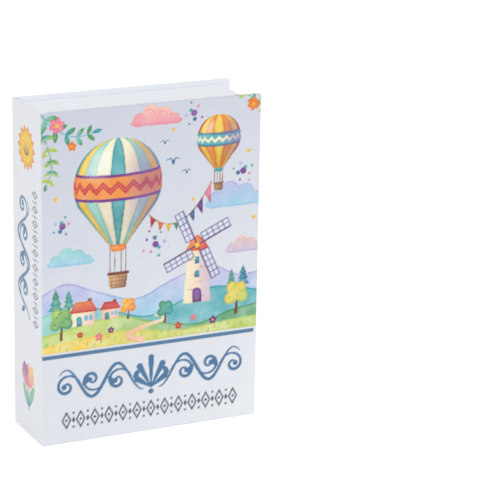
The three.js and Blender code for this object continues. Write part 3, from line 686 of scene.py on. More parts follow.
def sail(page, hub, length, angle):
    """One lattice sail of the windmill, at an angle in degrees"""
    u, v = hub
    turn = math.radians(angle)
    start, width = 0.2 * length, 0.24 * length
    half = (length - start) / 2
    cloth = trapezoid(u + start + half, v, half, v + width, half)
    page.paint(cloth.turned(hub, turn), (0.8, 0.86, 0.93), cover=0.85, rim=0.1)
    bars = [stroke([hub, (u + length, v)], 1.1, 0.8)]
    for rise, thickness in ((width, 0.5), (width / 2, 0.4)):
        bars.append(stroke([(u + start, v + rise), (u + length, v + rise)], thickness))
    for along in np.linspace(start, length, 6):
        bars.append(stroke([(u + along, v), (u + along, v + width)], 0.45))
    for bar in bars:
        page.paint(bar.turned(hub, turn), PLUM, rim=0, mottle=0.2, wobble=0.1)


def round_tree(page, u, v, size, colour, second):
    page.paint(stroke([(u, v), (u + 0.05 * size, v + 0.6 * size)], 0.14 * size, 0.07 * size), BROWN)
    crown = circle(u, v + 0.85 * size, 0.36 * size)
    for du, dv in ((-0.26, 0.62), (0.27, 0.66), (-0.17, 1.05), (0.2, 1.02)):
        crown = crown | circle(u + du * size, v + dv * size, 0.24 * size)
    light = ((u - 0.4 * size, v + 1.2 * size), (u + 0.4 * size, v + 0.5 * size))
    page.paint(crown, colour, second, light, rim=0.35)
    for du, dv in ((-0.2, 0.95), (0.05, 0.72), (0.22, 0.88), (-0.05, 1.1), (-0.3, 0.66)):
        dab = ellipse(u + du * size, v + dv * size, 0.08 * size, 0.05 * size, 0.5)
        page.paint(dab, second, cover=0.7, wobble=0.3)


def pine(page, u, v, size, colour, second):
    page.paint(stroke([(u, v), (u, v + 0.3 * size)], 0.1 * size), BROWN)
    for tier in range(3):
        base, half = v + (0.18 + 0.26 * tier) * size, (0.34 - 0.08 * tier) * size
        tip = base + 0.42 * size
        page.paint(polygon((u - half, base), (u, base - 0.05 * size), (u + half, base), (u, tip)),
                   colour, second, ((u - half, base), (u + half, base)), rim=0.3)


def house(page, u, v, size, wall, roof):
    half, eaves, ridge = 0.5 * size, v + 0.62 * size, v + 1.05 * size
    page.paint(trapezoid(u + 0.28 * size, eaves, 0.08 * size, v + 1.15 * size, 0.08 * size), BROWN)
    page.paint(trapezoid(u, v, half, eaves, half), wall, PEACH, ((u - half, v), (u + half, v)))
    page.paint(trapezoid(u, eaves - 0.04 * size, 0.64 * size, ridge, 0.36 * size), roof, RED,
               upright(v + 1.1 * size, eaves))
    page.paint(arch(u - 0.2 * size, v, 0.24 * size, 0.42 * size), TEAL, STEEL_BLUE, upright(v + 3, v))
    for du in (0.12, 0.33):
        page.paint(arch(u + du * size, v + 0.22 * size, 0.14 * size, 0.24 * size), SKY, rim=0.6)


def bunting(page, ends, sag, count, colours):
    """Pennants on a cord that hangs between two points"""
    (au, av), (bu, bv) = ends

    def cord(t):
        return au + (bu - au) * t, av + (bv - av) * t - sag * 4 * t * (1 - t)
    page.line([cord(t) for t in np.linspace(0, 1, 25)], (0.55,), BROWN, wobble=0.1)
    for i in range(count):
        left, right = cord((i + 0.12) / count), cord((i + 0.88) / count)
        lean = (right[1] - left[1]) * 0.35
        tip = ((left[0] + right[0]) / 2 + lean, (left[1] + right[1]) / 2 - 1.25 * math.dist(left, right))
        colour = colours[i % len(colours)]
        page.paint(polygon(left, right, tip), colour, darker(colour, 0.82), (left, tip), rim=0.4)


def bird(page, u, v, span, colour):
    wing = curve((u, v), (u + 0.22 * span, v + 0.26 * span), (u + 0.55 * span, v + 0.12 * span))
    page.paint(stroke(wing, 0.13 * span, 0.03 * span).mirrored(u), colour, rim=0.1, mottle=0.2, wobble=0.2)
    page.paint(ellipse(u, v - 0.02 * span, 0.09 * span, 0.13 * span), colour)


def star(u, v, radius, points=5):
    corners = []
    for i in range(2 * points):
        reach = radius if i % 2 == 0 else 0.42 * radius
        corners.append(polar(u, v, reach, math.pi / 2 + math.pi * i / points))
    return polygon(*corners)


def blossom(page, u, v, radius, colour, heart, petals=5):
    for i in range(petals):
        angle = 2 * math.pi * i / petals + 0.3
        petal = ellipse(*polar(u, v, 0.55 * radius, angle), 0.5 * radius, 0.36 * radius, angle)
        page.paint(petal, colour, rim=0.4, wobble=0.2)
    page.paint(circle(u, v, 0.26 * radius), heart, rim=0.5, wobble=0.1)


def sprig(page, points, leaf_size, colours):
    """A stem through the points with a leaf on each side at every step"""
    line = curve(*points, steps=4)
    page.line(line, (0.9, 0.4), colours[0], mottle=0.2)
    for i in range(2, len(line) - 1, 2):
        (au, av), (bu, bv) = line[i - 1], line[i + 1]
        along = math.degrees(math.atan2(bv - av, bu - au))
        size = leaf_size * (1 - 0.45 * i / len(line))
        for side in (-1, 1):
            blade = leaf(line[i], size, 0.42 * size, along + side * 52)
            page.paint(blade, colours[i // 2 % len(colours)], colours[-1], (line[i], (bu, bv)), rim=0.4)
    page.paint(leaf(line[-2], leaf_size * 0.7, 0.3 * leaf_size, along), colours[0], rim=0.4)


# Places of the picture on the front
RULE_V, RULE_HALF, RULE_MARGIN = 50.4, 1.1, 2.6
FLOURISH_V = 33.5
DOTS_V = 13
MIDDLE = round(WIDTH / 2)
GOLDEN_TURN = 2.4  # radians from one dot to the next, which spreads them evenly
DAISY_PETALS = 14


def hills(page):
    """Each hill has its line, its foot, two colours, the direction of their fade, its rim and its mottle"""
    layers = (
        ([(-3, 84), (14, 91), (33, 84), (55, 78), (76, 86), (98, 92), (118, 84), (140, 88)], 58,
         LILAC, SKY, ((0, 90), (0, 66)), 0.5, 0.45),
        ([(-3, 73), (18, 78), (40, 73), (62, 67), (84, 74), (104, 79), (140, 71)], 56,
         MINT, TEAL, ((0, 78), (60, 60)), 0.4, 0.45),
        ([(-3, 62), (20, 66), (44, 69), (70, 62), (92, 59), (112, 64), (140, 68)], 53.5,
         LIME, GREEN, ((30, 70), (100, 54)), 0.35, 0.5),
        ([(-3, 56), (24, 59), (52, 60), (80, 56.5), (106, 58), (140, 60)], 52.6,
         YELLOW, LIME, ((0, 56), (110, 56)), 0.2, 0.5),
    )
    for line, foot, colour, second, fade, rim, mottle in layers:
        page.paint(under(line, foot), colour, second, fade, rim=rim, mottle=mottle)
    path = curve((58, 53.5), (50, 57), (58, 61), (72, 64), (66, 67))
    page.paint(stroke(path, 3.4, 1.0), PEACH, CREAM, ((56, 53), (70, 67)), rim=0.5)
    for u in np.linspace(2, 126, 32):
        root = 55 + 2.2 * math.sin(u * 0.37)
        blade = [(u, root), (u + 0.6, root + 2.2)]
        page.line(blade, (0.5, 0.15), GREEN, cover=0.8)


def landscape(page):
    hills(page)
    for tree in ((8, 74, 13, TEAL, GREEN), (15.5, 76, 10, GREEN, TEAL),
                 (119, 76, 12, TEAL, STEEL_BLUE), (112, 77.5, 9, GREEN, TEAL)):
        pine(page, *tree)
    windmill(page, 91, 71, 42)
    house(page, 24, 66, 13, CREAM, ORANGE)
    house(page, 39.5, 68, 9.5, PEACH, RED)
    for tree in ((11, 60, 13, LIME, GREEN), (50, 67, 9, YELLOW, ORANGE),
                 (72, 62, 9.5, GREEN, TEAL), (115, 62, 14, YELLOW, LIME)):
        round_tree(page, *tree)
    for flower in ((33, 58.5, 2.4, PINK), (40, 61.5, 1.9, PURPLE), (80, 59, 2.2, RED),
                   (89, 62.5, 1.9, PINK), (101, 59.5, 2.4, PURPLE), (22, 61, 1.8, RED)):
        blossom(page, *flower, YELLOW)


def sky(page):
    for puff in ((114, 127, 38, LILAC, SKY), (17, 103, 27, MINT, SKY),
                 (66, 176, 30, PEACH, PINK), (120, 99, 24, PEACH, LILAC)):
        cloud(page, *puff)
    sprig(page, [(-2, 187), (8, 176), (20, 171), (31, 173)], 8.5, (TEAL, MINT, GREEN))
    sprig(page, [(-2, 178), (4, 166), (6, 154), (3, 146)], 7, (GREEN, TEAL, LIME))
    blossom(page, 9, 178, 4.2, PINK, YELLOW, 6)
    blossom(page, 17.5, 166, 2.6, ORANGE, YELLOW)
    sprig(page, [(139, 166), (132, 176), (124, 183), (114, 188)], 7, (GREEN, TEAL, LIME))
    blossom(page, 123.5, 180, 3.6, ORANGE, YELLOW, 6)
    blossom(page, 131, 172, 2.8, PINK, YELLOW)
    stripes = (TEAL, YELLOW, MINT, CREAM, TEAL, CREAM, MINT, YELLOW, TEAL)
    balloon(page, 44, 143, 25.5, stripes, (ORANGE, RED, PURPLE))
    warm = (RED, YELLOW, ORANGE, YELLOW, ORANGE, YELLOW, RED)
    balloon(page, 103, 163, 13, warm, (TEAL, CREAM, STEEL_BLUE))
    bunting(page, ((62, 124), (99, 139)), 13, 8, (RED, ORANGE, YELLOW, GREEN, TEAL, STEEL_BLUE, PURPLE, PINK))
    for flight in ((76, 152, 8), (84, 145.5, 5.5), (71, 163, 5)):
        bird(page, *flight, STEEL_BLUE)
    for spray in ((66, 107, 9, 11), (118, 143, 7, 9), (12, 123, 6, 8), (88, 178, 7, 8)):
        confetti(page, *spray)
    for place in ((125, 116, 1.7), (88, 130, 1.6), (8, 138, 2), (121, 154, 1.8), (76, 170, 1.5)):
        page.paint(star(*place), YELLOW, rim=0.6, wobble=0.1)


def confetti(page, u, v, reach, count):
    """Dots that get smaller away from the middle"""
    colours = (PURPLE, TEAL, STEEL_BLUE, PINK, LILAC)
    for i in range(count):
        share = math.sqrt(i / count)
        radius = 1.8 * (1 - 0.7 * share) * (1 if i % 2 == 0 else 0.75)
        dot = circle(*polar(u, v, reach * share, GOLDEN_TURN * i + u), radius)
        page.paint(dot, colours[i % len(colours)], rim=0.25, wobble=0.2)


def vine(u, v, pitch, bends, rise):
    """Shapes of a stem that waves along u, with a curl and a leaf in each bend"""
    along = np.linspace(0, pitch * (bends + 0.25), 16 * bends)
    stem = [(u + s, v - rise * math.cos(math.pi * s / pitch)) for s in along]
    shapes = [stroke(stem, 0.8, 1.9, 1.9, 0.6)]
    for bend in range(1, bends + 1):
        side = 1 if bend % 2 else -1
        centre = (u + bend * pitch, v - 0.16 * side * rise)
        curl = spiral(centre, 0.58 * pitch, 0.09 * pitch, 180 + 8 * side, -1.5 * side)
        shapes += [stroke(curl, 0.9, 1.9, 0.8), circle(*curl[-1], 0.1 * pitch)]
        foot = (u + (bend - 0.62) * pitch, v - 0.2 * side * rise)
        shapes.append(leaf(foot, 0.42 * pitch, 0.2 * pitch, 128 * side))
    return shapes


def flourish(page):
    """The ornament under the rule, the same on both sides of the middle"""
    for shape in vine(MIDDLE + 5, FLOURISH_V, 15, 3, 8.5):
        page.flat(shape.mirrored(MIDDLE), STEEL_BLUE)
    foot = FLOURISH_V - 8
    for angle, length in ((90, 17), (62, 14.5), (34, 10)):
        tip = polar(MIDDLE, foot, length, math.radians(angle))
        page.flat(stroke([(MIDDLE, foot), tip], 0.7, 1.6, 3.6).mirrored(MIDDLE), STEEL_BLUE)
    page.flat(circle(MIDDLE, foot - 2.6, 1.5), STEEL_BLUE)


def lozenge_row(page, centres, size, place, along_v=False):
    """Slate lozenges, every second one small; centres run along u, or along v, and place is the other one"""
    for i, along in enumerate(centres):
        u, v = (place, along) if along_v else (along, place)
        share = 1 if i % 2 == 0 else 0.34
        half = np.array((0.34, 0.62)) * size * share
        half_u, half_v = half[::-1] if along_v else half
        corners = np.array(((-half_u, 0), (0, -half_v), (half_u, 0), (0, half_v)))
        diamond = polygon(*(corners + (u, v)))
        if i % 2 == 0:
            page.flat(diamond - polygon(*(0.68 * corners + (u, v))), SLATE)
            page.flat(circle(u, v, 0.09 * size), SLATE)
            continue
        page.flat(diamond, SLATE)
        step = (0.48 * size, 0) if along_v else (0, 0.48 * size)
        for side in (-1, 1):
            page.flat(circle(u + side * step[0], v + side * step[1], 0.075 * size), SLATE)


def front_picture(page):
    """Painted on the front cover only; the window is then the rest"""
    page.window = page.front
    sky(page)
    landscape(page)
    page.flat(stroke([(-1, RULE_V), (WIDTH - RULE_MARGIN, RULE_V)], 2 * RULE_HALF), RULE_BLUE)
    flourish(page)
    lozenge_row(page, np.linspace(14, 114, 25), 8.4, DOTS_V)
    page.window = 1 - page.front


def spine_picture(page):
    middle = -THICKNESS / 2
    daisy(page, middle, 162, 12.5)
    start = (middle - 5, 67)
    for shape in vine(*start, 15.5, 4, 8):
        page.flat(shape.turned(start, math.pi / 2), STEEL_BLUE)
    lozenge_row(page, np.linspace(67, 139, 19), 6.6, middle + 12, along_v=True)
    tulip(page, middle, 17, 24)


def daisy(page, u, v, radius):
    rings = ((1.0, 0.42, GOLD, AMBER), (0.78, 0.4, YELLOW, GOLD))
    for ring, (reach, width, colour, second) in enumerate(rings):
        for i in range(DAISY_PETALS):
            angle = 360 / DAISY_PETALS * (i + 0.5 * ring)
            petal = leaf((u, v), radius * reach, radius * width, angle)
            tip = polar(u, v, radius * reach, math.radians(angle))
            page.paint(petal, colour, second, ((u, v), tip), mottle=0.12, rim=0.6)
    page.paint(circle(u, v, 0.33 * radius), YELLOW, BROWN, upright(v + 2, v - 5), rim=0.5)
    for i in range(24):
        seed = circle(*polar(u, v, 0.055 * radius * math.sqrt(i), GOLDEN_TURN * i), 0.3)
        page.paint(seed, BROWN, cover=0.7)


def tulip(page, u, v, height):
    page.paint(stroke(curve((u + 1, v - 2), (u, v + 0.25 * height), (u + 0.5, v + 0.5 * height)), 1.2), GREEN)
    for angle, length in ((122, 0.62), (60, 0.7)):
        blade = leaf((u + 0.8, v - 1), length * height, 0.2 * height, angle)
        page.paint(blade, TEAL, LIME, upright(v, v + height), rim=0.4)
    bud = v + 0.42 * height
    for du, angle, colour in ((0.0, 90, PINK), (-0.1, 103, PURPLE), (0.1, 77, YELLOW)):
        petal = leaf((u + du * height, bud), 0.6 * height, 0.36 * height, angle)
        page.paint(petal, colour, PINK, upright(bud + 0.6 * height, bud), rim=0.4, cover=0.92)
    for du, dv, radius in ((-0.42, 0.75, 0.7), (0.42, 0.6, 0.8), (0.36, 0.95, 0.5), (-0.36, 0.3, 0.5)):
        page.paint(star(u + du * height * 0.9, v + dv * height, 1.7 * radius), YELLOW, rim=0.5)


def back_picture(page):
    middle = -THICKNESS - WIDTH / 2
    stem = [(middle - 16, 92), (middle - 4, 99), (middle + 8, 99), (middle + 20, 92)]
    sprig(page, stem, 9, (TEAL, MINT, GREEN))
    blossom(page, middle, 97, 5, PINK, YELLOW, 6)
    for u, v, radius in ((-26, 118, 2.2), (24, 120, 1.8), (-2, 128, 2.6), (-34, 70, 1.6), (36, 66, 2.0)):
        page.paint(star(middle + u, v, radius), YELLOW, rim=0.5)
    page.flat(stroke([(middle - 57, RULE_V), (middle + 57, RULE_V)], 2 * RULE_HALF), RULE_BLUE)
    lozenge_row(page, middle + np.linspace(-26, 26, 13), 6.0, DOTS_V + 8)


def linear_light(shown):
    """The light of colours that are written as a screen shows them"""
    return np.where(shown <= 0.04045, shown / 12.92, ((shown + 0.055) / 1.055) ** 2.4)


def print_on(mesh, u, v):
    """Paints the whole unfolded cover onto one mesh, whose points lie at u, v"""
    page = Print(u, v)
    front_picture(page)
    spine_picture(page)
    back_picture(page)
    colours = np.ones((len(u), 4), np.float32)
    colours[:, :3] = np.clip(linear_light(np.clip(page.colour, 0, 1)) / FRONT_LIGHT, 0, WHITEST)
    attribute = mesh.color_attributes.new("print", "FLOAT_COLOR", "POINT")
    attribute.data.foreach_set("color", colours.ravel())


# Sheets of the case

def joint_profile(x, edge):
    """Depth of the pressed groove at x, before the board's edge"""
    return JOINT_DIP * eased((x - SPINE) / JOINT_SLOPE) * eased((edge - x) / JOINT_SLOPE)


def border(columns, rows, segments=6):
    """Grid indices, places and outward directions round three sides of the grid, with fans at the corners"""
    last_column, last_row = len(columns) - 1, len(rows) - 1
    entries = [(i, 0, -90.0) for i in range(last_column + 1)]
    entries += [(last_column, 0, -90 + 90 * k / segments) for k in range(1, segments)]
    entries += [(last_column, j, 0.0) for j in range(last_row + 1)]
    entries += [(last_column, last_row, 90 * k / segments) for k in range(1, segments)]
    entries += [(i, last_row, 90.0) for i in range(last_column, -1, -1)]
    i, j = np.array([e[0] for e in entries]), np.array([e[1] for e in entries])
    angle = np.radians([e[2] for e in entries])
    return i * len(rows) + j, columns[i], rows[j], np.cos(angle), np.sin(angle)


def edge_profile(thickness, radius, steps=4, turns=4):
    """Inset and depth over the rounded edge and along the turn-in, for arrays of thickness and radius"""
    angles = np.radians(np.linspace(0, 90, steps + 1))
    rings = [(radius * (1 - math.sin(a)), radius * (1 - math.cos(a))) for a in angles]
    rings += [(radius * (1 - math.cos(a)), thickness - radius + radius * math.sin(a)) for a in angles]
    rings += [(radius + (TURN_IN - radius) * k / turns, thickness) for k in range(1, turns + 1)]
    return rings


def grid_faces(columns, rows):
    """Faces of a grid whose points are numbered column after column"""
    return [(a, a + 1, a + 1 + rows, a + rows)
            for i in range(columns - 1) for a in range(i * rows, i * rows + rows - 1)]


def cover_rings(columns, rows, edge):
    """Rings that run over the rounded edge and along the turn-in: the grid points that they start from, their
    points and their places in the print"""
    first, bx, bz, nx, nz = border(columns, rows)
    on_board = np.clip((bx - edge + EDGE_REACH) / EDGE_RAMP, 0, 1)
    thickness = PAPER + (BOARD - PAPER) * on_board
    radius = PAPER_EDGE_R + (EDGE_R - PAPER_EDGE_R) * on_board
    run = np.zeros(len(bx))
    before = (CORNER_R * np.ones(len(bx)), np.zeros(len(bx)))
    points, places = [], []
    for inset, depth in edge_profile(thickness, radius):
        x = np.minimum(bx + nx * (CORNER_R - inset), WIDTH - inset)
        x = np.where(nx == 0, np.minimum(bx, WIDTH - np.maximum(inset, CORNER_R)), x)
        z = np.clip(bz + nz * (CORNER_R - inset), inset, HEIGHT - inset)
        run = run + np.hypot(inset - before[0], depth - before[1])
        before = (inset, depth)
        points.append(np.column_stack([x, joint_profile(x, edge) + depth, z]))
        places.append(np.column_stack([bx + nx * run, bz + nz * run]))
    return first, points, places


def cover_sheet(step, edge, outer_y, inwards, strip=None):
    """One closed mesh of a board with its printed paper, its turn-ins and its joint; returns it with u and v.
    The mesh has no columns inside the strip, two values of x."""
    columns = np.linspace(CORNER_R, WIDTH - CORNER_R, round((WIDTH - 2 * CORNER_R) / step))
    if strip:
        columns = columns[(columns < strip[0]) | (columns > strip[1])]
    rows = np.linspace(CORNER_R, HEIGHT - CORNER_R, round((HEIGHT - 2 * CORNER_R) / step))
    x, z = (a.ravel() for a in np.meshgrid(columns, rows, indexing="ij"))
    ring, points, places = cover_rings(columns, rows, edge)
    size, rings = len(ring), len(points)
    faces = grid_faces(len(columns), len(rows))
    for number in range(rings):
        following = len(x) + number * size + np.arange(size)
        for a, b, c, d in zip(ring, ring[1:], following[1:], following):
            faces.append((a, b, c, d) if a != b else (a, c, d))
        ring = following
    faces += inner_faces(ring, columns, edge)
    tail_end = [len(x) + number * size for number in range(rings)]
    head_end = [a + size - 1 for a in tail_end]
    faces.append((*range(len(rows)), *head_end, *reversed(tail_end)))
    made = np.concatenate([np.column_stack([x, joint_profile(x, edge), z]), *points])
    made[:, 1] = outer_y + inwards * made[:, 1]
    return made, faces, np.concatenate([np.column_stack([x, z]), *places]).T


def inner_faces(ring, columns, edge):
    """Long quads across the joint and one flat face under the endpaper"""
    reach = int(np.searchsorted(columns, edge + 1))
    tail, head = ring[:len(columns)], ring[::-1][:len(columns)]
    strips = [(tail[i], tail[i + 1], head[i + 1], head[i]) for i in range(reach)]
    panel = tuple(int(a) for a in ring[reach:len(ring) - reach])
    return [*strips, panel]


def front_cover():
    points, faces, (u, v) = cover_sheet(PRINT_STEP, JOINT_EDGE, 0, 1, (FOLD_START, FOLD_END))
    replaced = ("front_cover_paper", "front_board", "cover_joint")
    sheet = add_piece("front_sheet", points, faces, PRINTED, replaced, print_at=(u, v))
    start, end = to_frame([(FOLD_START, 0, 0), (FOLD_END, 0, 0)])
    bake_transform(sheet)


def back_cover():
    points, faces, (u, v) = cover_sheet(BACK_STEP, REAR_EDGE, THICKNESS, -1)
    replaced = ("back_cover_paper", "back_board")
    add_piece("back_sheet", points, faces, PRINTED, replaced, "case", (-THICKNESS - u, v))


def spine_section():
    """Outer line of the spine round both corners, then its inner faces"""
    angles = np.radians(np.linspace(90, 180, 9))
    front = [(CORNER_R + CORNER_R * math.cos(a), CORNER_R - CORNER_R * math.sin(a)) for a in angles]
    levels = np.linspace(CORNER_R, THICKNESS - CORNER_R, round((THICKNESS - 2 * CORNER_R) / PRINT_STEP))
    flat = [(0, y) for y in levels[1:-1]]
    back = [(x, THICKNESS - y) for x, y in reversed(front)]
    inner = SPINE - LINING  # the lining is the CAD's own piece
    inside = [(CORNER_R, THICKNESS - PAPER), (inner, THICKNESS - PAPER), (inner, PAPER), (CORNER_R, PAPER)]
    return np.array([*front, *flat, *back, *inside]), inner


def lofted_faces(count, rings):
    """Faces of a closed form made of rings with the same count of points"""
    faces = [tuple(range(count)), tuple(range((rings - 1) * count, rings * count))]
    for ring in range(rings - 1):
        for i in range(count):
            a, b = ring * count + i, ring * count + (i + 1) % count
            faces.append((a, b, b + count, a + count))
    return faces


def spine_sheet():
    section, inner = spine_section()
    radius = PAPER_EDGE_R
    rows = np.linspace(radius, HEIGHT - radius, round(HEIGHT / PRINT_STEP))
    rounded = [(radius * (1 - math.sin(a)), radius * (1 - math.cos(a))) for a in np.radians((0, 22, 45, 68))]
    levels = [*rounded, *[(0, z) for z in rows], *[(inset, HEIGHT - z) for inset, z in reversed(rounded)]]
    x, y = section.T
    around = np.where(y < THICKNESS / 2, x - y, -x - y)
    around[-4:] = -THICKNESS / 4  # the inner faces, behind the lining
    points = [np.column_stack([np.clip(x, inset, inner - inset), np.clip(y, inset, THICKNESS - inset),
                               np.full(len(x), z)]) for inset, z in levels]
    u = np.tile(around, len(levels))
    v = np.repeat(np.array(levels)[:, 1], len(x))
    faces = lofted_faces(len(section), len(levels))
    replaced = ("spine_paper", "spine_board")
    add_piece("spine_sheet", np.concatenate(points), faces, PRINTED, replaced, "case", (u, v))


def book_box(node):
    """Lowest and highest corner of a CAD node, in the book's frame"""
    return ((np.array(corner) - ORIGIN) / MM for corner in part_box(node))


def endpaper(name, body, node, top, inwards):
    """A thin sheet pasted over the turn-ins, with slightly cockled edges"""
    low, high = book_box(node)
    xs = np.linspace(low[0] + PASTE_INSET, high[0] + PASTE_OVERHANG, ENDPAPER_COLUMNS)
    zs = np.linspace(low[2] - PASTE_OVERHANG, high[2] + PASTE_OVERHANG, ENDPAPER_ROWS)
    x, z = (a.ravel() for a in np.meshgrid(xs, zs, indexing="ij"))
    ragged = RAGGED * (cloudy(x, z, grain=15, seed=5) - 0.5)
    edge = (x == xs[-1]) | (z == zs[0]) | (z == zs[-1])
    x, z = x + ragged * edge, z + ragged * edge
    pasted = np.full(len(x), top - inwards * ENDPAPER)
    cockled = top - inwards * COCKLED * cloudy(x, z, grain=12, seed=9)
    points = np.concatenate([np.column_stack([x, cockled, z]), np.column_stack([x, pasted, z])])
    add_piece(name, points, slab_faces(len(xs), len(zs)), ENDPAPER_LOOK, (node,), body)


def slab_faces(columns, rows):
    """Faces of a slab whose two sides are grids of the same size"""
    count = columns * rows
    faces = grid_faces(columns, rows)
    faces += [(a + count, d + count, c + count, b + count) for a, b, c, d in faces]
    rim = [i * rows for i in range(columns)] + [(columns - 1) * rows + j for j in range(1, rows)]
    rim += [i * rows + rows - 1 for i in range(columns - 2, -1, -1)] + [j for j in range(rows - 2, 0, -1)]
    faces += [(a, b, b + count, a + count) for a, b in zip(rim, rim[1:] + rim[:1])]
    return faces


# Page moulding

GROOVES, GROOVE_HALF, GROOVE_DEPTH = 8, 0.6, 0.6
PAGE_WALL, BOX_SHEET, LIP = 1.5, 0.8, 0.8
PAGE_CORNER_R, RIM_R, RIM_CHAMFER = 3.5, 0.35, 0.2
RIB_CROWN = 0.03  # height of a rib's middle over its edges


def page_section(rim, back):
    """Outline of the moulding's wall: distance out from the steel and y, with rounded ribs between grooves"""
    start = [(-BOX_SHEET, rim + RIM_CHAMFER), (-BOX_SHEET + RIM_CHAMFER, rim)]
    round_off = [(PAGE_WALL - RIM_R * (1 - math.sin(a)), rim + RIM_R * (1 - math.cos(a)))
                 for a in np.radians(np.linspace(0, 90, 6))]
    pitch = (back - rim) / (GROOVES + 1)
    wall = []
    for i in range(1, GROOVES + 1):
        middle = rim + i * pitch
        for t in np.linspace(-1, 1, 9):
            depth = GROOVE_DEPTH * 0.5 * (1 + math.cos(math.pi * t))
            wall.append((PAGE_WALL - RIB_CROWN - depth, middle + t * GROOVE_HALF))
        wall += [(PAGE_WALL, middle + t * pitch) for t in (0.3, 0.5, 0.7)]
    foot = [(PAGE_WALL, back), (0, back), (0, rim + LIP), (-BOX_SHEET, rim + LIP)]
    return np.array([*start, *round_off, *wall, *foot])


def page_block():
    low, high = book_box("page_block")
    section = page_section(low[1], high[1])
    tail, head = low[2] + PAGE_WALL, high[2] - PAGE_WALL
    fore = high[0] - PAGE_WALL
    radius = PAGE_CORNER_R - PAGE_WALL
    stations = [(x, tail, -90.0) for x in np.linspace(low[0], fore - radius, 12)[:-1]]
    stations += [(fore - radius, tail + radius, a) for a in np.linspace(-90, 0, 13)]
    stations += [(fore - radius, head - radius, a) for a in np.linspace(0, 90, 13)]
    stations += [(x, head, 90.0) for x in np.linspace(fore - radius, low[0], 12)[1:]]
    points = []
    for x, z, degrees in stations:
        nx, nz = polar(0, 0, 1, math.radians(degrees))
        offset = section[:, 0] + (radius if x == fore - radius else 0)
        points.append(np.column_stack([x + nx * offset, section[:, 1], z + nz * offset]))
    made, faces = np.concatenate(points), lofted_faces(len(section), len(stations))
    add_piece("page_moulding", made, faces, page_plastic(), ("page_block",), "case")


# Metal pieces

LOCK_BAND, BAND_BLUR = 33, 1  # width of the lid's lowered band, and of the change of paint beside it


def dress(name, material, bevel):
    """Gives a CAD node a material, soft edges and smooth shading, with its mesh left alone"""
    obj = nodes[name]
    obj.data.materials.clear()
    obj.data.materials.append(material)
    obj.modifiers.new("weld", "WELD").merge_threshold = DOUBLES
    flat = obj.modifiers.new("flat", "DECIMATE")
    flat.decimate_type = "DISSOLVE"
    flat.angle_limit = math.radians(FLAT_ANGLE)
    if bevel:
        edge = obj.modifiers.new("edge", "BEVEL")
        edge.width = bevel * MM
        edge.segments = 2
        edge.limit_method = "ANGLE"
        edge.angle_limit = math.radians(BEVEL_ANGLE)
    smooth(obj)


def lock_band(look):
    """1 on the lowered band of the lid, 0 on its main panel"""
    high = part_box("lid_panel")[1]
    start = high.x - LOCK_BAND * MM
    axis = look.node("SeparateXYZ", Vector=look.place).outputs["X"]
    return look.between(axis, 0.0, 1.0, start - BAND_BLUR * MM, start + BAND_BLUR * MM)


def metalwork():
    """Material and bevel, in millimetres, of each node that keeps its CAD mesh"""
    coat = powder_coat("black_coat", 0.5, 0.035)
    # its lowered band is wrinkled, with a painted highlight on the raised grains
    lid_coat = powder_coat("lid_coat", 0.55, 0.04, lock_band)
    steel = metal("bright_steel", (0.6, 0.61, 0.62), 0.24)
    wire = metal("wire_steel", (0.56, 0.57, 0.59), 0.26, (1, 1, 0.05))
    plating = metal("lock_plate", (0.6, 0.61, 0.63), 0.1, wear=0.002)
    # its knuckle crests show bare steel that is partly wear and partly a painted highlight
    hinge_coat_wear_and_highlight = powder_coat("hinge_coat_wear_and_highlight", 0.5, 0.03, wear_and_highlight=crest_wear_and_highlight)
    finishes = {
        "steel_box": (coat, 0.3), "strike_channel": (coat, 0.15), "box_hinge_leaf": (hinge_coat_wear_and_highlight, 0.1),
        "lid_hinge_leaf": (coat, 0.1), "lid_panel": (lid_coat, 0.25), "hinge_pin": (wire, 0.15),
        "lock_washer": (steel, 0.15), "cam_washer": (steel, 0.15), "cam_screw": (steel, 0.12),
        "lock_body": (plating, 0.2), "lock_nut": (plating, 0.2), "lock_plug": (plating, 0.12),
        "lock_cam": (plating, 0.3), "spine_lining": (ENDPAPER_LOOK, 0),
        **{f"page_rivet_{i}": (steel, 0.08) for i in range(1, 7)},
    }
    for name, (material, bevel) in finishes.items():
        dress(name, material, bevel)


# Stage, light and camera

FLOOR_GLOW = 0.3  # white that the camera sees in the floor, on top of the light that falls on it
FLOOR_HALF = 6.0
WORLD_STRENGTH = 0.71
# Place and size in metres, and power in watts
LAMPS = {
    "key": ((-0.75, -1.0, 0.9), 0.8, 5.4),
    "fill": ((0.9, -0.7, 0.5), 0.9, 1.2),
    "top": ((0.1, 0.2, 1.6), 1.0, 2.2),
}
LAMP_AIM = (0, 0, 0.09)


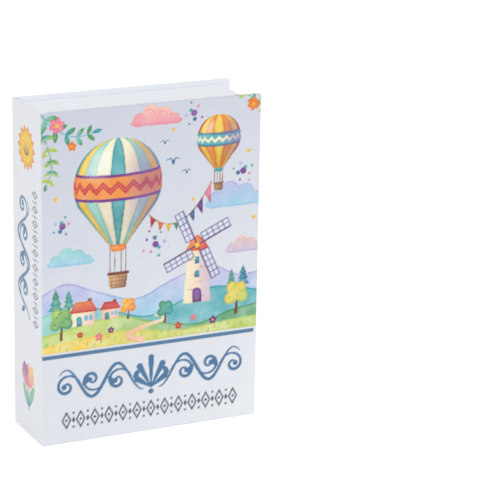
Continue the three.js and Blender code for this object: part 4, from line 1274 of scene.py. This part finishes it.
def stage():
    mesh = bpy.data.meshes.new("floor")
    corners = [(-FLOOR_HALF, -FLOOR_HALF, 0), (FLOOR_HALF, -FLOOR_HALF, 0),
               (FLOOR_HALF, FLOOR_HALF, 0), (-FLOOR_HALF, FLOOR_HALF, 0)]
    mesh.from_pydata(corners, [], [(0, 1, 2, 3)])
    floor = bpy.data.objects.new("floor", mesh)
    bpy.context.scene.collection.objects.link(floor)
    look = Look("floor_paper", Roughness=0.9, Specular_IOR_Level=0.1)
    look.set(Base_Color=look.colour(look.noise(400), (0.955, 0.955, 0.955), (0.965, 0.965, 0.965)))
    rays = look.node("LightPath").outputs
    seen = look.maths("MAXIMUM", rays["Is Camera Ray"], rays["Is Glossy Ray"])
    seen = look.maths("MAXIMUM", seen, rays["Is Transmission Ray"])
    look.set(Emission_Color=(1, 1, 1, 1), Emission_Strength=look.maths("MULTIPLY", seen, FLOOR_GLOW))
    mesh.materials.append(look.material)


def light():
    scene = bpy.context.scene
    scene.view_settings.view_transform = "Standard"
    world = bpy.data.worlds.new("studio")
    scene.world = world
    world.use_nodes = True
    background = world.node_tree.nodes["Background"]
    background.inputs["Color"].default_value = (0.98, 0.99, 1.0, 1)
    background.inputs["Strength"].default_value = WORLD_STRENGTH
    for name, (place, size, power) in LAMPS.items():
        add_lamp(name, place, size, power)


def add_lamp(name, place, size, power):
    lamp = bpy.data.lights.new(name, "AREA")
    lamp.size = size
    lamp.energy = power
    obj = bpy.data.objects.new(name, lamp)
    bpy.context.scene.collection.objects.link(obj)
    obj.location = place
    obj.rotation_mode = "QUATERNION"
    obj.rotation_quaternion = (Vector(LAMP_AIM) - Vector(place)).to_track_quat("-Z", "Y")


def camera():
    turn = Matrix.Rotation(ROLL, 3, "Y") @ Matrix.Rotation(PITCH, 3, "X") @ Matrix.Rotation(YAW, 3, "Z")
    eye = -(turn.transposed() @ BOOK_FROM_EYE) * MM + Vector(ORIGIN)
    data = bpy.data.cameras.new("camera")
    data.sensor_width = SENSOR
    data.lens = FOCAL_PX / FRAME_PX * SENSOR
    data.clip_start, data.clip_end = 0.1, 20
    obj = bpy.data.objects.new("camera", data)
    bpy.context.scene.collection.objects.link(obj)
    right, ahead, up = (Vector(row) for row in turn)
    obj.matrix_world = Matrix.Translation(eye) @ Matrix((right, up, -ahead)).transposed().to_4x4()
    bpy.context.scene.camera = obj


PRINTED = printed_paper()
ENDPAPER_LOOK = plain_paper()
front_cover()
spine_sheet()
back_cover()
endpaper("front_pastedown", "front_cover", "front_endpaper", BOARD + ENDPAPER, 1)
endpaper("back_pastedown", "case", "back_endpaper", THICKNESS - BOARD - ENDPAPER, -1)
page_block()
metalwork()
stage()
light()
camera()
